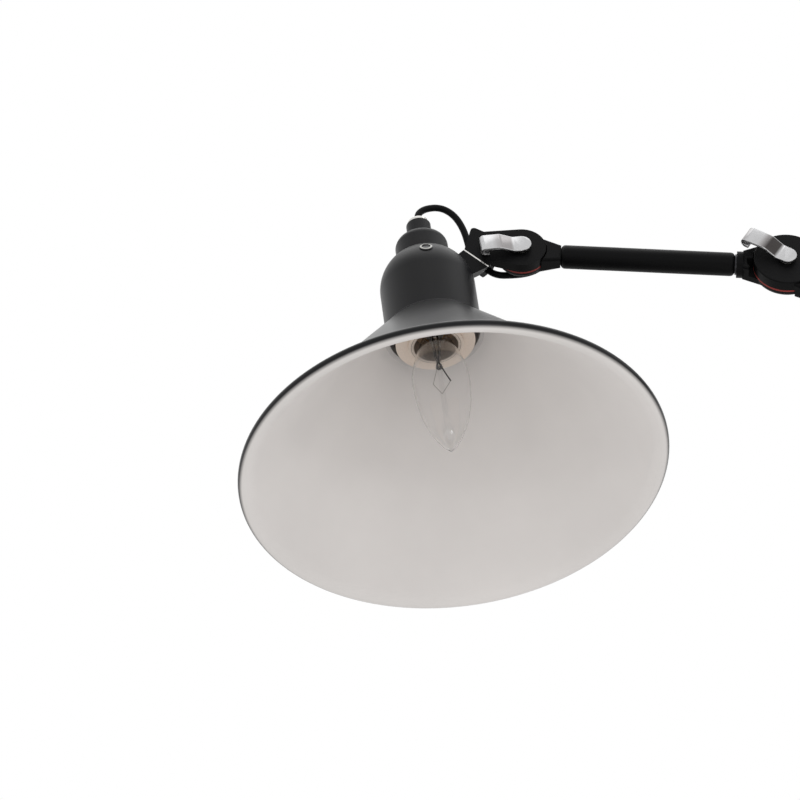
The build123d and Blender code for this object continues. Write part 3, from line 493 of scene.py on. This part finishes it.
def ivory_plastic():
    """Moulded plastic with a faint sparked texture."""
    return plain_finish("ivory_plastic", colours().ivory, size=0.9, tones=(0.96, 1.04), rough=(0.45, 0.6),
                        bump=(0.9, 0.02, 0.3))


def lead_sheath():
    """Extruded PVC sheath: black, a little waxy."""
    return plain_finish("lead_sheath", colours().sheath, size=2.5, tones=(0.85, 1.15), rough=(0.42, 0.55),
                        gloss=CAST_GLOSS)


def bulb_aluminium():
    """Pressed aluminium screw base, dull from handling."""
    return plain_finish("bulb_aluminium", colours().zinc, size=3, tones=(0.95, 1.2), rough=(0.3, 0.45),
                        metal=1)


def tungsten_wire():
    """Drawn tungsten, dark and slightly rough."""
    return plain_finish("tungsten_wire", colours().tungsten, size=0.4, tones=(0.8, 1.1), rough=(0.4, 0.55),
                        metal=1)


def oversprayed_black_paint():
    """The housing's satin black, turning pale grey-white on its lip and inside its mouth, and black again further
    in.
    """
    material, tree, shader = new_material("oversprayed_black_paint")
    cloud = grain(tree, BLACK_CLOUD)
    peel = grain(tree, BLACK_PEEL)
    height, aside = lamp_stations(tree)
    inside = calc(tree, "LESS_THAN", aside, MOUTH_RADIUS * MM)
    below = calc(tree, "LESS_THAN", height, MOUTH_SEAT * MM)
    reached = calc(tree, "MAXIMUM", inside, below)
    fade = between(tree, height, MOUTH_TOP * MM, MOUTH_SEAT * MM)
    cover = between(tree, aside, MOUTH_ACROSS[0] * MM, MOUTH_ACROSS[1] * MM, *MOUTH_SHARE)
    pale_share = calc(tree, "MULTIPLY", calc(tree, "MULTIPLY", reached, fade), cover)
    black = tone(tree, cloud, colours().black_paint, *BLACK_TONES)
    white = tone(tree, peel, colours().white_paint, 0.9, 1.0)
    shader.inputs["Specular IOR Level"].default_value = BLACK_GLOSS
    wire(tree, shader, Base_Color=mixed(tree, pale_share, black, white),
         Roughness=spread(tree, cloud, *BLACK_ROUGH), Normal=relief(tree, peel, *BLACK_RELIEF))
    return material


def two_side_paint():
    """Spun sheet, satin black outside and satin white inside, with faint rings left by the spinning."""
    material, tree, shader = new_material("two_side_shade_paint")
    side = add(tree, "ShaderNodeAttribute", attribute_name="white_side").outputs["Fac"]
    cloud = grain(tree, 60)
    peel = grain(tree, 1.0)
    black = tone(tree, cloud, colours().black_paint, *BLACK_TONES)
    white = tone(tree, cloud, colours().white_paint, 0.97, 1.03)
    wave = {"Vector": about(tree, DOME_CENTRE, LAMP_LEAN), "Scale": WAVE_PITCH * per_mm(SPUN_PITCH),
            "Distortion": 0.6}
    rings = add(tree, "ShaderNodeTexWave", wave, wave_type="RINGS", rings_direction="Z")
    spun = {"Height": rings.outputs["Fac"], "Distance": SPUN_DEPTH * MM, "Strength": 0.3,
            "Normal": relief(tree, peel, 0.02, 0.2)}
    spun = add(tree, "ShaderNodeBump", spun)
    shader.inputs["Specular IOR Level"].default_value = BLACK_GLOSS
    wire(tree, shader, Base_Color=mixed(tree, side, black, white),
         Roughness=between(tree, side, 0, 1, 0.28, 0.5), Normal=spun.outputs["Normal"])
    return material


def satin_nickel(pivot, turn, shaded):
    """Nickel plate brushed along the strip, with a warm painted shade where it slopes and towards its hook, and a
    painted highlight along its edges.
    """
    material, tree, shader = new_material("satin_nickel")
    brush = grain(tree, 1.6, thin=(0.15, 1, 0.15), turn=turn, detail=6)
    station = add(tree, "ShaderNodeSeparateXYZ", {"Vector": about(tree, pivot, turn)})
    span = between(tree, station.outputs["Y"], 0, LEVER_SPAN * MM)
    # Painted shade along the strip: darker, and warmer, where it slopes and towards the hook
    slope_shade = add(tree, "ShaderNodeValToRGB", {"Fac": span})
    ramp = slope_shade.color_ramp
    for mark, share in LEVER_SHADE:
        level = 1 - (1 - shaded) * share
        element = ramp.elements[0] if mark == 0 else ramp.elements.new(mark)
        element.color = (*(level * (tint + (1 - tint) * level) for tint in SHADE_TINT), 1)
    ramp.elements.remove(ramp.elements[len(ramp.elements) - 1])
    # Painted highlight: a thin band along each edge is mixed towards white
    across = add(tree, "ShaderNodeMath", {0: station.outputs["Z"]}, operation="ABSOLUTE").outputs[0]
    edge = between(tree, across, LEVER_HIGHLIGHT[0] * MM, LEVER_HIGHLIGHT[1] * MM)
    edge_highlight = mixed(tree, edge, slope_shade.outputs["Color"], WHITE)
    metal = tone(tree, brush, colours().nickel, 0.9, 1.05)
    shader.inputs["Metallic"].default_value = 1
    wire(tree, shader, Base_Color=mixed(tree, 1.0, metal, edge_highlight, "MULTIPLY"),
         Roughness=spread(tree, brush, 0.26, 0.4), Normal=relief(tree, brush, 0.01, 0.3))
    return material


def brown_phenolic():
    """Moulded socket: brown flecked phenolic in the bore, a pale face, and darker rings at the joints round it."""
    material, tree, shader = new_material("brown_phenolic")
    fleck = grain(tree, 1.2)
    _, aside = lamp_stations(tree)
    rings = add(tree, "ShaderNodeValToRGB", {"Fac": between(tree, aside, 0, SOCKET_REACH * MM)})
    steps = rings.color_ramp.elements
    steps.remove(steps[1])
    for radius, name, factor in SOCKET_STEPS:
        steps.new(radius / SOCKET_REACH).color = shade_of(getattr(colours(), name), factor)
    steps.remove(steps[0])
    flecks = tone(tree, fleck, WHITE[:3], 0.7, 1.0)
    wire(tree, shader, Base_Color=mixed(tree, 1.0, rings.outputs["Color"], flecks, "MULTIPLY"),
         Roughness=spread(tree, fleck, 0.3, 0.45))
    return material


def clear_glass():
    """Thin blown glass, clear, with faint draw ripples."""
    material, tree, shader = new_material("clear_glass")
    shader.inputs["Base Color"].default_value = WHITE
    shader.inputs["Roughness"].default_value = 0.0
    shader.inputs["IOR"].default_value = 1.5
    shader.inputs["Transmission Weight"].default_value = 1
    wire(tree, shader, Normal=relief(tree, grain(tree, 9), 0.01, 0.2))
    return material


FINISHES = {
    "satin_black_metal": satin_black_paint,
    "sprayed_black": oversprayed_black_paint,
    "cast_black": cast_black_paint,
    "bright_steel": bright_plating,
    "plain_steel": zinc_plate,
    "oiled_steel": oiled_steel,
    "red_fibre": red_fibre,
    "brass": plain_brass,
    "brown_phenolic": brown_phenolic,
    "ivory_plastic": ivory_plastic,
    "black_lead": lead_sheath,
    "clear_glass": clear_glass,
    "bulb_cap": bulb_aluminium,
    "tungsten": tungsten_wire,
    "shade_enamel": two_side_paint,
}
# Sub-parts whose finish differs from that of their slot
OTHER_FINISH = {
    "lamp_housing": "sprayed_black",
    "base_knuckle": "cast_black",
    "rear_arm_base_eye": "cast_black",
    "rear_arm_tube": "cast_black",
    "rear_arm_elbow_eye": "cast_black",
    "elbow_knuckle": "cast_black",
    "forearm_tube": "cast_black",
    "forearm_head_eye": "cast_black",
    "head_knuckle": "cast_black",
    "head_bracket": "cast_black",
    "lead_clip": "cast_black",
    # Dark steel on the swivel washers and the bush: painted shade between the turning faces
    "base_swivel_washer": "oiled_steel",
    "forearm_swivel_washer": "oiled_steel",
    "forearm_bush": "oiled_steel",
}
made = {}


def finish_for(slot):
    """The finish of a material slot, made once."""
    if slot not in made:
        made[slot] = FINISHES[slot]()
    return made[slot]


# Pieces


def only(piece):
    """Selects one piece and nothing else."""
    bpy.ops.object.select_all(action="DESELECT")
    piece.select_set(True)
    bpy.context.view_layer.objects.active = piece


def smooth(piece, kind):
    """Shades a piece smooth apart from its sharp edges."""
    only(piece)
    bpy.ops.object.shade_smooth_by_angle(angle=math.radians(SMOOTH[kind]))


def face_outwards():
    """Turns the faces of the mesh that is being edited outwards and stops editing."""
    bpy.ops.mesh.select_all(action="SELECT")
    bpy.ops.mesh.normals_make_consistent(inside=False)
    bpy.ops.object.mode_set(mode="OBJECT")


def thicken(piece, thickness, offset):
    """Gives a sheet its thickness."""
    only(piece)
    wall = piece.modifiers.new("wall", "SOLIDIFY")
    wall.thickness = thickness
    wall.offset = offset
    bpy.ops.object.modifier_apply(modifier=wall.name)


def settle(piece, name, slot, place=None, look=None):
    """Names a piece, moves its mesh to its place and gives it the finish of its slot, or another look."""
    piece.name = name
    piece.data.name = name
    only(piece)
    if place is not None:
        piece.matrix_world = place @ piece.matrix_world
    bpy.ops.object.transform_apply(location=True, rotation=True, scale=True)
    piece.data.materials.clear()
    piece.data.materials.append(finish_for(look or slot))
    return piece


def ray(turn):
    """Unit vector at an angle in a section, radius across and height up."""
    return Vector((math.cos(turn), math.sin(turn)))


def ring_sheet(stations, facets):
    """Rings extruded one after another through (radius, height) stations, about z."""
    bpy.ops.object.select_all(action="DESELECT")
    radius, height = stations[0]
    bpy.ops.mesh.primitive_circle_add(vertices=facets, radius=radius, location=(0, 0, height))
    piece = bpy.context.object
    bpy.ops.object.transform_apply(location=True)
    bpy.ops.object.mode_set(mode="EDIT")
    bpy.ops.mesh.select_all(action="SELECT")
    for next_radius, next_height in stations[1:]:
        rise = (0, 0, next_height - height)
        bpy.ops.mesh.extrude_region_move(TRANSFORM_OT_translate={"value": rise})
        grow = next_radius / radius
        bpy.ops.transform.resize(value=(grow, grow, 1), center_override=(0, 0, next_height))
        radius, height = next_radius, next_height
    return piece


class LAMP_OT_finish_nodes(Operator):
    """Give every sub-part that keeps its own shape the finish of its slot"""

    bl_idname = "lamp.finish_nodes"
    bl_label = "Finish sub-parts"

    def execute(self, context):
        for entry in frame["record"]["subparts"]:
            name = entry["node"]
            if name in LEVERS:
                continue
            finish = finish_for(OTHER_FINISH.get(name, entry["material_slot"]))
            for slot in NODES[name].material_slots:
                slot.material = finish
        return {"FINISHED"}


class LAMP_OT_break_lever_edges(Operator):
    """Break the sharp edges of the three hooked levers, so that they catch a thin line of light"""

    bl_idname = "lamp.break_lever_edges"
    bl_label = "Break lever edges"

    def execute(self, context):
        for name, (joint, turn, shaded) in LEVERS.items():
            piece = self.copy(NODES[name], f"polished_{name}")
            only(piece)
            edges = piece.modifiers.new("edges", "BEVEL")
            edges.width = sizes().lever_edge
            edges.segments = LEVER_EDGE_STEPS
            edges.limit_method = "ANGLE"
            edges.angle_limit = math.radians(LEVER_EDGE_ANGLE)
            edges.use_clamp_overlap = True
            edges.harden_normals = True
            bpy.ops.object.modifier_apply(modifier=edges.name)
            smooth(piece, "lever")
            piece.data.materials.clear()
            piece.data.materials.append(satin_nickel(JOINTS[joint]["pos_m"], math.radians(turn), shaded))
            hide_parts(name)
            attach(piece, name)
        return {"FINISHED"}

    def copy(self, node, name):
        """Copy of a sub-part's mesh with its triangles joined into faces."""
        piece = bpy.data.objects.new(name, node.data.copy())
        piece.data.name = name
        bpy.context.scene.collection.objects.link(piece)
        only(piece)
        bpy.ops.object.mode_set(mode="EDIT")
        bpy.ops.mesh.select_all(action="SELECT")
        bpy.ops.mesh.remove_doubles(threshold=WELD)
        bpy.ops.mesh.select_all(action="SELECT")
        bpy.ops.mesh.dissolve_limited(angle_limit=FLAT)
        bpy.ops.object.mode_set(mode="OBJECT")
        return piece


class LAMP_OT_spin_shade(Operator):
    """Spin the conical shade with its rolled rim, black outside and white inside"""

    bl_idname = "lamp.spin_shade"
    bl_label = "Spin shade"

    def execute(self, context):
        size = sizes()
        stations, white = self.profile(size)
        piece = ring_sheet(stations, size.shade_facets)
        bpy.ops.mesh.select_all(action="DESELECT")
        bpy.ops.mesh.select_non_manifold()
        bpy.ops.mesh.bridge_edge_loops()
        face_outwards()
        smooth(piece, "sheet")
        side = piece.data.attributes.new("white_side", "FLOAT", "POINT")
        for vertex in piece.data.vertices:
            ring = vertex.index // size.shade_facets
            if abs(math.hypot(vertex.co.x, vertex.co.y) - stations[ring][0]) > RING_SLACK:
                raise RuntimeError("the shade's rings are out of order")
            side.data[vertex.index].value = white[ring]
        settle(piece, "painted_shade", "shade_enamel", LAMP_FRAME)
        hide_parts("lamp_shade")
        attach(piece, "lamp_head")
        return {"FINISHED"}

    def profile(self, size):
        """Section of the sheet from its hole round the rim and back, and how white each station is."""
        sheet = size.shade_sheet
        hole = Vector((size.shade_hole / 2, -size.shade_seat))
        low = -size.shade_seat - size.shade_height
        centre = Vector((size.shade_diameter / 2 - size.rim_roll, low + size.rim_roll))
        # The cone's slope, such that it runs on into the flare
        slope = 0.0
        for _ in range(SLOPE_TRIES):
            pivot = centre - ray(slope + math.pi + size.flare_turn) * (size.flare - size.rim_roll)
            across = pivot - hole
            slope = math.atan2(across.x, -across.y) - math.asin(size.flare / across.length)
        run = math.sqrt(across.length**2 - size.flare**2)
        along = ray(slope - math.pi / 2)
        outward = ray(slope)
        start = slope + math.pi
        opening = [start + size.flare_turn * k / FLARE_STEPS for k in range(FLARE_STEPS)]
        roll = size.rim_turn - size.flare_turn
        rolling = [start + size.flare_turn + roll * k / ROLL_STEPS for k in range(ROLL_STEPS + 1)]
        inside = [hole + along * run * k / CONE_STEPS for k in range(1, CONE_STEPS)]
        inside += [pivot + ray(t) * size.flare for t in opening]
        curl = [centre + ray(t) * size.rim_roll for t in rolling]
        outside = [pivot + ray(t) * (size.flare - sheet) for t in opening]
        outside += [centre + ray(t) * (size.rim_roll - sheet) for t in rolling]
        middle = hole + outward * size.bead + along * size.bead
        turns = [math.radians(BEAD_ANGLE * k) for k in range(BEAD_STEPS)]
        bead = [middle + (outward * math.sin(t) - along * math.cos(t)) * size.bead for t in turns]
        levels = [math.degrees(t) - 360 for t in rolling]
        fades = [(WHITE_ENDS + WHITE_FADE - level) / (2 * WHITE_FADE) for level in levels]
        fades = [min(1.0, max(0.0, fade)) for fade in fades]
        stations = [hole, *bead, *outside, *curl[::-1], *inside[::-1]]
        white = [1.0] + [0.0] * (len(bead) + len(outside)) + fades[::-1] + [1.0] * len(inside)
        return stations, white


def clip_station(along):
    """Point on the lead's line through its clip."""
    back = SWIVEL_CENTRE - LEVER_AXIS * LEAD_BACK * MM + SWIVEL_AXIS * CLIP_SEAT * MM
    return back + SWIVEL_ALONG * along * MM


def from_pivot(points):
    """Points given from the head pivot, in metres in the lamp's frame."""
    return [HEAD_PIVOT + Vector(point) * MM for point in points]


def tube(name, points, radius):
    """Round tube on a smooth curve through control points, as a mesh."""
    bpy.ops.object.select_all(action="DESELECT")
    data = bpy.data.curves.new(name, "CURVE")
    data.dimensions = "3D"
    spline = data.splines.new("NURBS")
    spline.points.add(len(points) - 1)
    for point, place in zip(spline.points, points):
        point.co = (*place, 1)
    spline.order_u = TUBE_ORDER
    spline.use_endpoint_u = True
    data.resolution_u = TUBE_STEPS
    data.bevel_depth = radius
    data.bevel_resolution = TUBE_ROUND
    data.use_fill_caps = True
    piece = bpy.data.objects.new(name, data)
    bpy.context.scene.collection.objects.link(piece)
    only(piece)
    bpy.ops.object.convert(target="MESH")
    piece = bpy.context.object
    smooth(piece, "tube")
    return piece


def lead_piece(name, points, radius):
    """One stretch of the lead."""
    return settle(tube(name, points, radius), name, "black_lead")


class LAMP_OT_lay_lead(Operator):
    """Lay the lead: loop over the swivel, run through the clip and loop under the head joint"""

    bl_idname = "lamp.lay_lead"
    bl_label = "Lay lead"

    def execute(self, context):
        radius = sizes().lead_diameter / 2
        ring = LAMP_FRAME @ Vector((0, 0, LEAD_RING_TOP * MM))
        clip_in = clip_station(-CLIP_RUN / 2)
        clip_out = clip_station(CLIP_RUN / 2)
        before = clip_station(-CLIP_RUN / 2 - CLIP_RUN_IN)
        after = clip_station(CLIP_RUN / 2 + CLIP_RUN_OUT)
        outlet = from_pivot([LEAD_OUTLET])[0]
        over = lead_piece("lead_over_swivel", [ring, *from_pivot(HEAD_LOOP), before, clip_in], radius)
        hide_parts("lead_head_loop")
        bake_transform(over)
        run = lead_piece("lead_in_clip", [clip_in, (clip_in + clip_out) / 2, clip_out], radius)
        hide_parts("lead_clip_run")
        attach(run, "head_knuckle")
        under = lead_piece("lead_under_joint", [clip_out, after, *from_pivot(JOINT_LOOP), outlet], radius)
        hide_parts("lead_joint_loop")
        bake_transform(under)
        return {"FINISHED"}


def bulb_wire(name, points, diameter, look=None):
    """Thin round wire on a smooth curve from points at the stem's end, in the lamp's own frame."""
    below = Matrix.Translation((0, 0, STEM_END * MM))
    places = [LAMP_FRAME @ below @ (Vector(point) * MM) for point in points]
    return settle(tube(name, places, diameter / 2), name, "tungsten", look=look)


class LAMP_OT_blow_bulb(Operator):
    """Blow the candle bulb: clear glass with a sealed tip, its stem, lead-in wires and filament"""

    bl_idname = "lamp.blow_bulb"
    bl_label = "Blow bulb"

    def execute(self, context):
        size = sizes()
        glass = self.lathe(GLASS_PROFILE, GLASS_FACETS)
        thicken(glass, size.glass_wall, -1)
        settle(glass, "clear_bulb", "clear_glass", LAMP_FRAME)
        stem = self.lathe(STEM_PROFILE, STEM_FACETS)
        settle(stem, "stem_press", "clear_glass", LAMP_FRAME)
        filament = bulb_wire("bulb_coil", FILAMENT_ROUTE, size.filament_wire)
        routes = {"lead_in_wire": LEAD_IN_ROUTE}
        routes.update({f"stem_wire_{n}": route for n, route in enumerate(STEM_WIRES, 1)})
        wires = [bulb_wire(name, route, size.support_wire, "oiled_steel") for name, route in routes.items()]
        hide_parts("bulb_glass")
        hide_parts("bulb_stem")
        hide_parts("bulb_filament")
        # Clear glass lets the light through to the shade
        for piece in (glass, stem):
            piece.visible_shadow = False
        for piece in (glass, stem, filament, *wires):
            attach(piece, "lamp_head")
        return {"FINISHED"}

    def lathe(self, profile, facets):
        """Turns a profile that starts at the glass's top, closes its far end and rounds it."""
        piece = ring_sheet([(r * MM, (GLASS_TOP - drop) * MM) for r, drop in profile], facets)
        bpy.ops.mesh.extrude_region_move()
        bpy.ops.mesh.merge(type="CENTER")
        face_outwards()
        only(piece)
        rounding = piece.modifiers.new("smooth", "SUBSURF")
        rounding.levels = 1
        rounding.render_levels = 1
        bpy.ops.object.modifier_apply(modifier=rounding.name)
        bpy.ops.object.shade_smooth()
        return piece


class LAMP_OT_roll_threads(Operator):
    """Roll the screw threads of the socket's shell and of the bulb's base"""

    bl_idname = "lamp.roll_threads"
    bl_label = "Roll threads"

    def execute(self, context):
        bore = SHELL_BORE / 2
        shell = self.thread(bore, bore + THREAD_DEPTH, SHELL_SPAN)
        thicken(shell, SHELL_WALL * MM, 1)
        settle(shell, "threaded_shell", "brass", LAMP_FRAME)
        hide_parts("socket_shell")
        base = self.thread(BASE_DIAMETER / 2 - THREAD_DEPTH, BASE_DIAMETER / 2, BASE_SPAN)
        self.crown(base)
        settle(base, "threaded_base", "bulb_cap", LAMP_FRAME)
        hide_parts("bulb_base")
        for piece in (shell, base):
            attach(piece, "lamp_head")
        return {"FINISHED"}

    def thread(self, root, crest, span):
        """Round thread between two radii, cut flat at both ends of its span."""
        pitch = sizes().thread_pitch
        low, high = (end * MM for end in span)
        waves = [0.5 - 0.5 * math.cos(math.tau * k / THREAD_STEPS) for k in range(THREAD_STEPS + 1)]
        line = [(root + (crest - root) * wave) * MM for wave in waves]
        bpy.ops.object.select_all(action="DESELECT")
        bpy.ops.mesh.primitive_circle_add(vertices=3, radius=MM)
        piece = bpy.context.object
        bpy.ops.object.mode_set(mode="EDIT")
        bpy.ops.mesh.select_all(action="SELECT")
        bpy.ops.mesh.merge(type="CENTER")
        bpy.ops.transform.translate(value=(line[0], 0, low - pitch))
        for before, here in zip(line, line[1:]):
            step = (here - before, 0, pitch / THREAD_STEPS)
            bpy.ops.mesh.extrude_region_move(TRANSFORM_OT_translate={"value": step})
        bpy.ops.object.mode_set(mode="OBJECT")
        only(piece)
        wind = piece.modifiers.new("wind", "SCREW")
        wind.screw_offset = pitch
        wind.iterations = math.ceil((high - low) / pitch) + 2
        wind.steps = THREAD_FACETS
        wind.render_steps = THREAD_FACETS
        bpy.ops.object.modifier_apply(modifier=wind.name)
        bpy.ops.object.mode_set(mode="EDIT")
        bpy.ops.mesh.select_all(action="SELECT")
        bpy.ops.mesh.remove_doubles(threshold=WELD)
        for end, away in ((low, -1), (high, 1)):
            bpy.ops.mesh.select_all(action="SELECT")
            bpy.ops.mesh.bisect(plane_co=(0, 0, end), plane_no=(0, 0, away), clear_outer=True)
        face_outwards()
        bpy.ops.object.shade_smooth()
        return piece

    def crown(self, piece):
        """Closes the base: a flat end at the glass, and a stepped contact at the far end."""
        only(piece)
        bpy.ops.object.mode_set(mode="EDIT")
        for level, steps in BASE_ENDS:
            bpy.ops.mesh.select_all(action="DESELECT")
            bpy.ops.object.mode_set(mode="OBJECT")
            for vertex in piece.data.vertices:
                vertex.select = abs(vertex.co.z - level * MM) < WELD
            bpy.ops.object.mode_set(mode="EDIT")
            grown = 1.0
            for share, rise in steps:
                bpy.ops.mesh.extrude_region_move(TRANSFORM_OT_translate={"value": (0, 0, rise * MM)})
                ratio = share / grown
                bpy.ops.transform.resize(value=(ratio, ratio, 1), center_override=(0, 0, 0))
                grown = share
            bpy.ops.mesh.extrude_region_move()
            bpy.ops.mesh.merge(type="CENTER")
        face_outwards()
        smooth(piece, "base")


class LAMP_OT_turn_screws(Operator):
    """Turn the two button-head screws of the housing, each with a hexagon socket"""

    bl_idname = "lamp.turn_screws"
    bl_label = "Turn screws"

    def execute(self, context):
        pair = [self.screw(side) for side in (1, -1)]
        only(pair[0])
        pair[1].select_set(True)
        bpy.ops.object.join()
        screws = settle(bpy.context.object, "socket_head_screws", "bright_steel", LAMP_FRAME, "plain_steel")
        screws.data.materials.append(finish_for("oiled_steel"))
        tilt = math.radians(SCREW_ELEVATION)
        to_lamp = LAMP_FRAME.inverted()
        for face in screws.data.polygons:
            place = to_lamp @ face.center
            out = Vector((math.copysign(math.cos(tilt), place.x), 0, math.sin(tilt)))
            height = place.dot(out) - DOME_RADIUS * MM
            aside = (place - out * place.dot(out)).length
            # Painted shade: faces in the key's socket, and low on the head's edge, take the dark steel
            in_key = aside < SCREW_KEY * SCREW_KEY_SHARE * MM
            face.material_index = int(height > 0 and (in_key or height < SCREW_EDGE * MM))
        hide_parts("housing_screws")
        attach(screws, "lamp_head")
        return {"FINISHED"}

    def screw(self, side):
        """One screw, turned about its own axis and laid on its side of the dome."""
        piece = ring_sheet([(r * MM, z * MM) for r, z in SCREW_PROFILE], SCREW_FACETS)
        bpy.ops.mesh.select_all(action="DESELECT")
        bpy.ops.mesh.select_non_manifold()
        bpy.ops.mesh.edge_face_add()
        face_outwards()
        bpy.ops.object.select_all(action="DESELECT")
        top = SCREW_PROFILE[-1][1]
        bpy.ops.mesh.primitive_cylinder_add(vertices=6, radius=SCREW_KEY / math.sqrt(3) * MM,
                                            depth=2 * SCREW_KEY_DEPTH * MM, location=(0, 0, top * MM))
        key = bpy.context.object
        only(piece)
        cut = piece.modifiers.new("key", "BOOLEAN")
        cut.object = key
        cut.operation = "DIFFERENCE"
        bpy.ops.object.modifier_apply(modifier=cut.name)
        bpy.data.objects.remove(key, do_unlink=True)
        smooth(piece, "screw")
        tilt = math.pi / 2 - math.radians(SCREW_ELEVATION)
        outwards = Matrix.Translation((0, 0, DOME_RADIUS * MM))
        piece.matrix_world = Matrix.Rotation(side * tilt, 4, "Y") @ outwards
        bpy.ops.object.transform_apply(location=True, rotation=True, scale=True)
        return piece


class LAMP_OT_set_stage(Operator):
    """Set the floor, the soft lights, the white surround and the camera"""

    bl_idname = "lamp.set_stage"
    bl_label = "Set stage"

    def execute(self, context):
        stage = context.scene.lamp_stage
        self.floor(stage)
        self.surround(stage)
        for name, (offset, width, power) in SOFTBOXES.items():
            self.softbox(name, DOME_CENTRE + Vector(offset), width, power)
        self.camera(stage)
        context.scene.view_settings.view_transform = "Standard"
        return {"FINISHED"}

    def floor(self, stage):
        """Pale floor far below, which the camera sees as white."""
        bpy.ops.object.select_all(action="DESELECT")
        bpy.ops.mesh.primitive_plane_add(size=FLOOR_SIZE, location=(0, HEAD_PIVOT.y, -stage.floor_drop))
        piece = bpy.context.object
        piece.name = "floor"
        bpy.ops.object.transform_apply(location=True)
        material = plain_finish("pale_floor", colours().floor, size=120, tones=(0.98, 1.02),
                                rough=(0.6, 0.7))
        tree = material.node_tree
        shader = tree.nodes["Principled BSDF"]
        shader.inputs["Emission Color"].default_value = WHITE
        seen = add(tree, "ShaderNodeLightPath").outputs["Is Camera Ray"]
        wire(tree, shader, Emission_Strength=calc(tree, "MULTIPLY", seen, stage.floor_lift))
        piece.data.materials.append(material)

    def surround(self, stage):
        """Soft light from all round, which the camera, metal and glass see as white."""
        world = bpy.data.worlds.new("white_surround")
        bpy.context.scene.world = world
        world.use_nodes = True
        tree = world.node_tree
        tree.nodes.clear()
        path = add(tree, "ShaderNodeLightPath").outputs
        seen = calc(tree, "MAXIMUM", path["Is Camera Ray"], path["Is Glossy Ray"])
        seen = calc(tree, "MAXIMUM", seen, path["Is Transmission Ray"])
        soft = add(tree, "ShaderNodeBackground", {"Color": WHITE, "Strength": stage.ambient})
        white = add(tree, "ShaderNodeBackground", {"Color": WHITE, "Strength": 1.0})
        mix = add(tree, "ShaderNodeMixShader", {0: seen, 1: soft.outputs[0], 2: white.outputs[0]})
        add(tree, "ShaderNodeOutputWorld", {"Surface": mix.outputs[0]})

    def softbox(self, name, place, width, power):
        """Square soft light that faces the dome."""
        bpy.ops.object.select_all(action="DESELECT")
        bpy.ops.object.light_add(type="AREA", location=place)
        lamp = bpy.context.object
        lamp.name = name
        lamp.rotation_euler = (DOME_CENTRE - place).to_track_quat("-Z", "Y").to_euler()
        lamp.data.shape = "SQUARE"
        lamp.data.size = width
        lamp.data.energy = power

    def camera(self, stage):
        """Camera in front of the levers, below the lamp and looking up."""
        rise = stage.camera_elevation
        away = Vector((math.cos(rise), 0, math.sin(rise)))
        place = CAMERA_AIM + away * stage.camera_distance
        bpy.ops.object.camera_add(location=place)
        camera = bpy.context.object
        camera.rotation_euler = (CAMERA_AIM - place).to_track_quat("-Z", "Y").to_euler()
        camera.data.lens = stage.camera_lens
        camera.data.sensor_width = SENSOR
        bpy.context.scene.camera = camera


class LAMP_PT_dressing(Panel):
    """Steps that dress the lamp, in order"""

    bl_label = "Wall lamp"
    bl_idname = "LAMP_PT_dressing"
    bl_space_type = "VIEW_3D"
    bl_region_type = "UI"
    bl_category = "Lamp"

    def draw(self, context):
        for operator in OPERATORS:
            self.layout.operator(operator.bl_idname)


OPERATORS = [
    LAMP_OT_finish_nodes,
    LAMP_OT_break_lever_edges,
    LAMP_OT_spin_shade,
    LAMP_OT_lay_lead,
    LAMP_OT_blow_bulb,
    LAMP_OT_roll_threads,
    LAMP_OT_turn_screws,
    LAMP_OT_set_stage,
]
GROUPS = {"lamp_sizes": LampSizes, "lamp_colours": LampColours, "lamp_stage": LampStage}


def register():
    for name, group in GROUPS.items():
        bpy.utils.register_class(group)
        setattr(bpy.types.Scene, name, PointerProperty(type=group))
    for cls in OPERATORS + [LAMP_PT_dressing]:
        bpy.utils.register_class(cls)


def unregister():
    for cls in reversed(OPERATORS + [LAMP_PT_dressing]):
        bpy.utils.unregister_class(cls)
    for name, group in GROUPS.items():
        delattr(bpy.types.Scene, name)
        bpy.utils.unregister_class(group)


def main():
    register()
    bpy.ops.lamp.finish_nodes()
    bpy.ops.lamp.break_lever_edges()
    bpy.ops.lamp.spin_shade()
    bpy.ops.lamp.lay_lead()
    bpy.ops.lamp.blow_bulb()
    bpy.ops.lamp.roll_threads()
    bpy.ops.lamp.turn_screws()
    bpy.ops.lamp.set_stage()


if __name__ == "__main__":
    main()
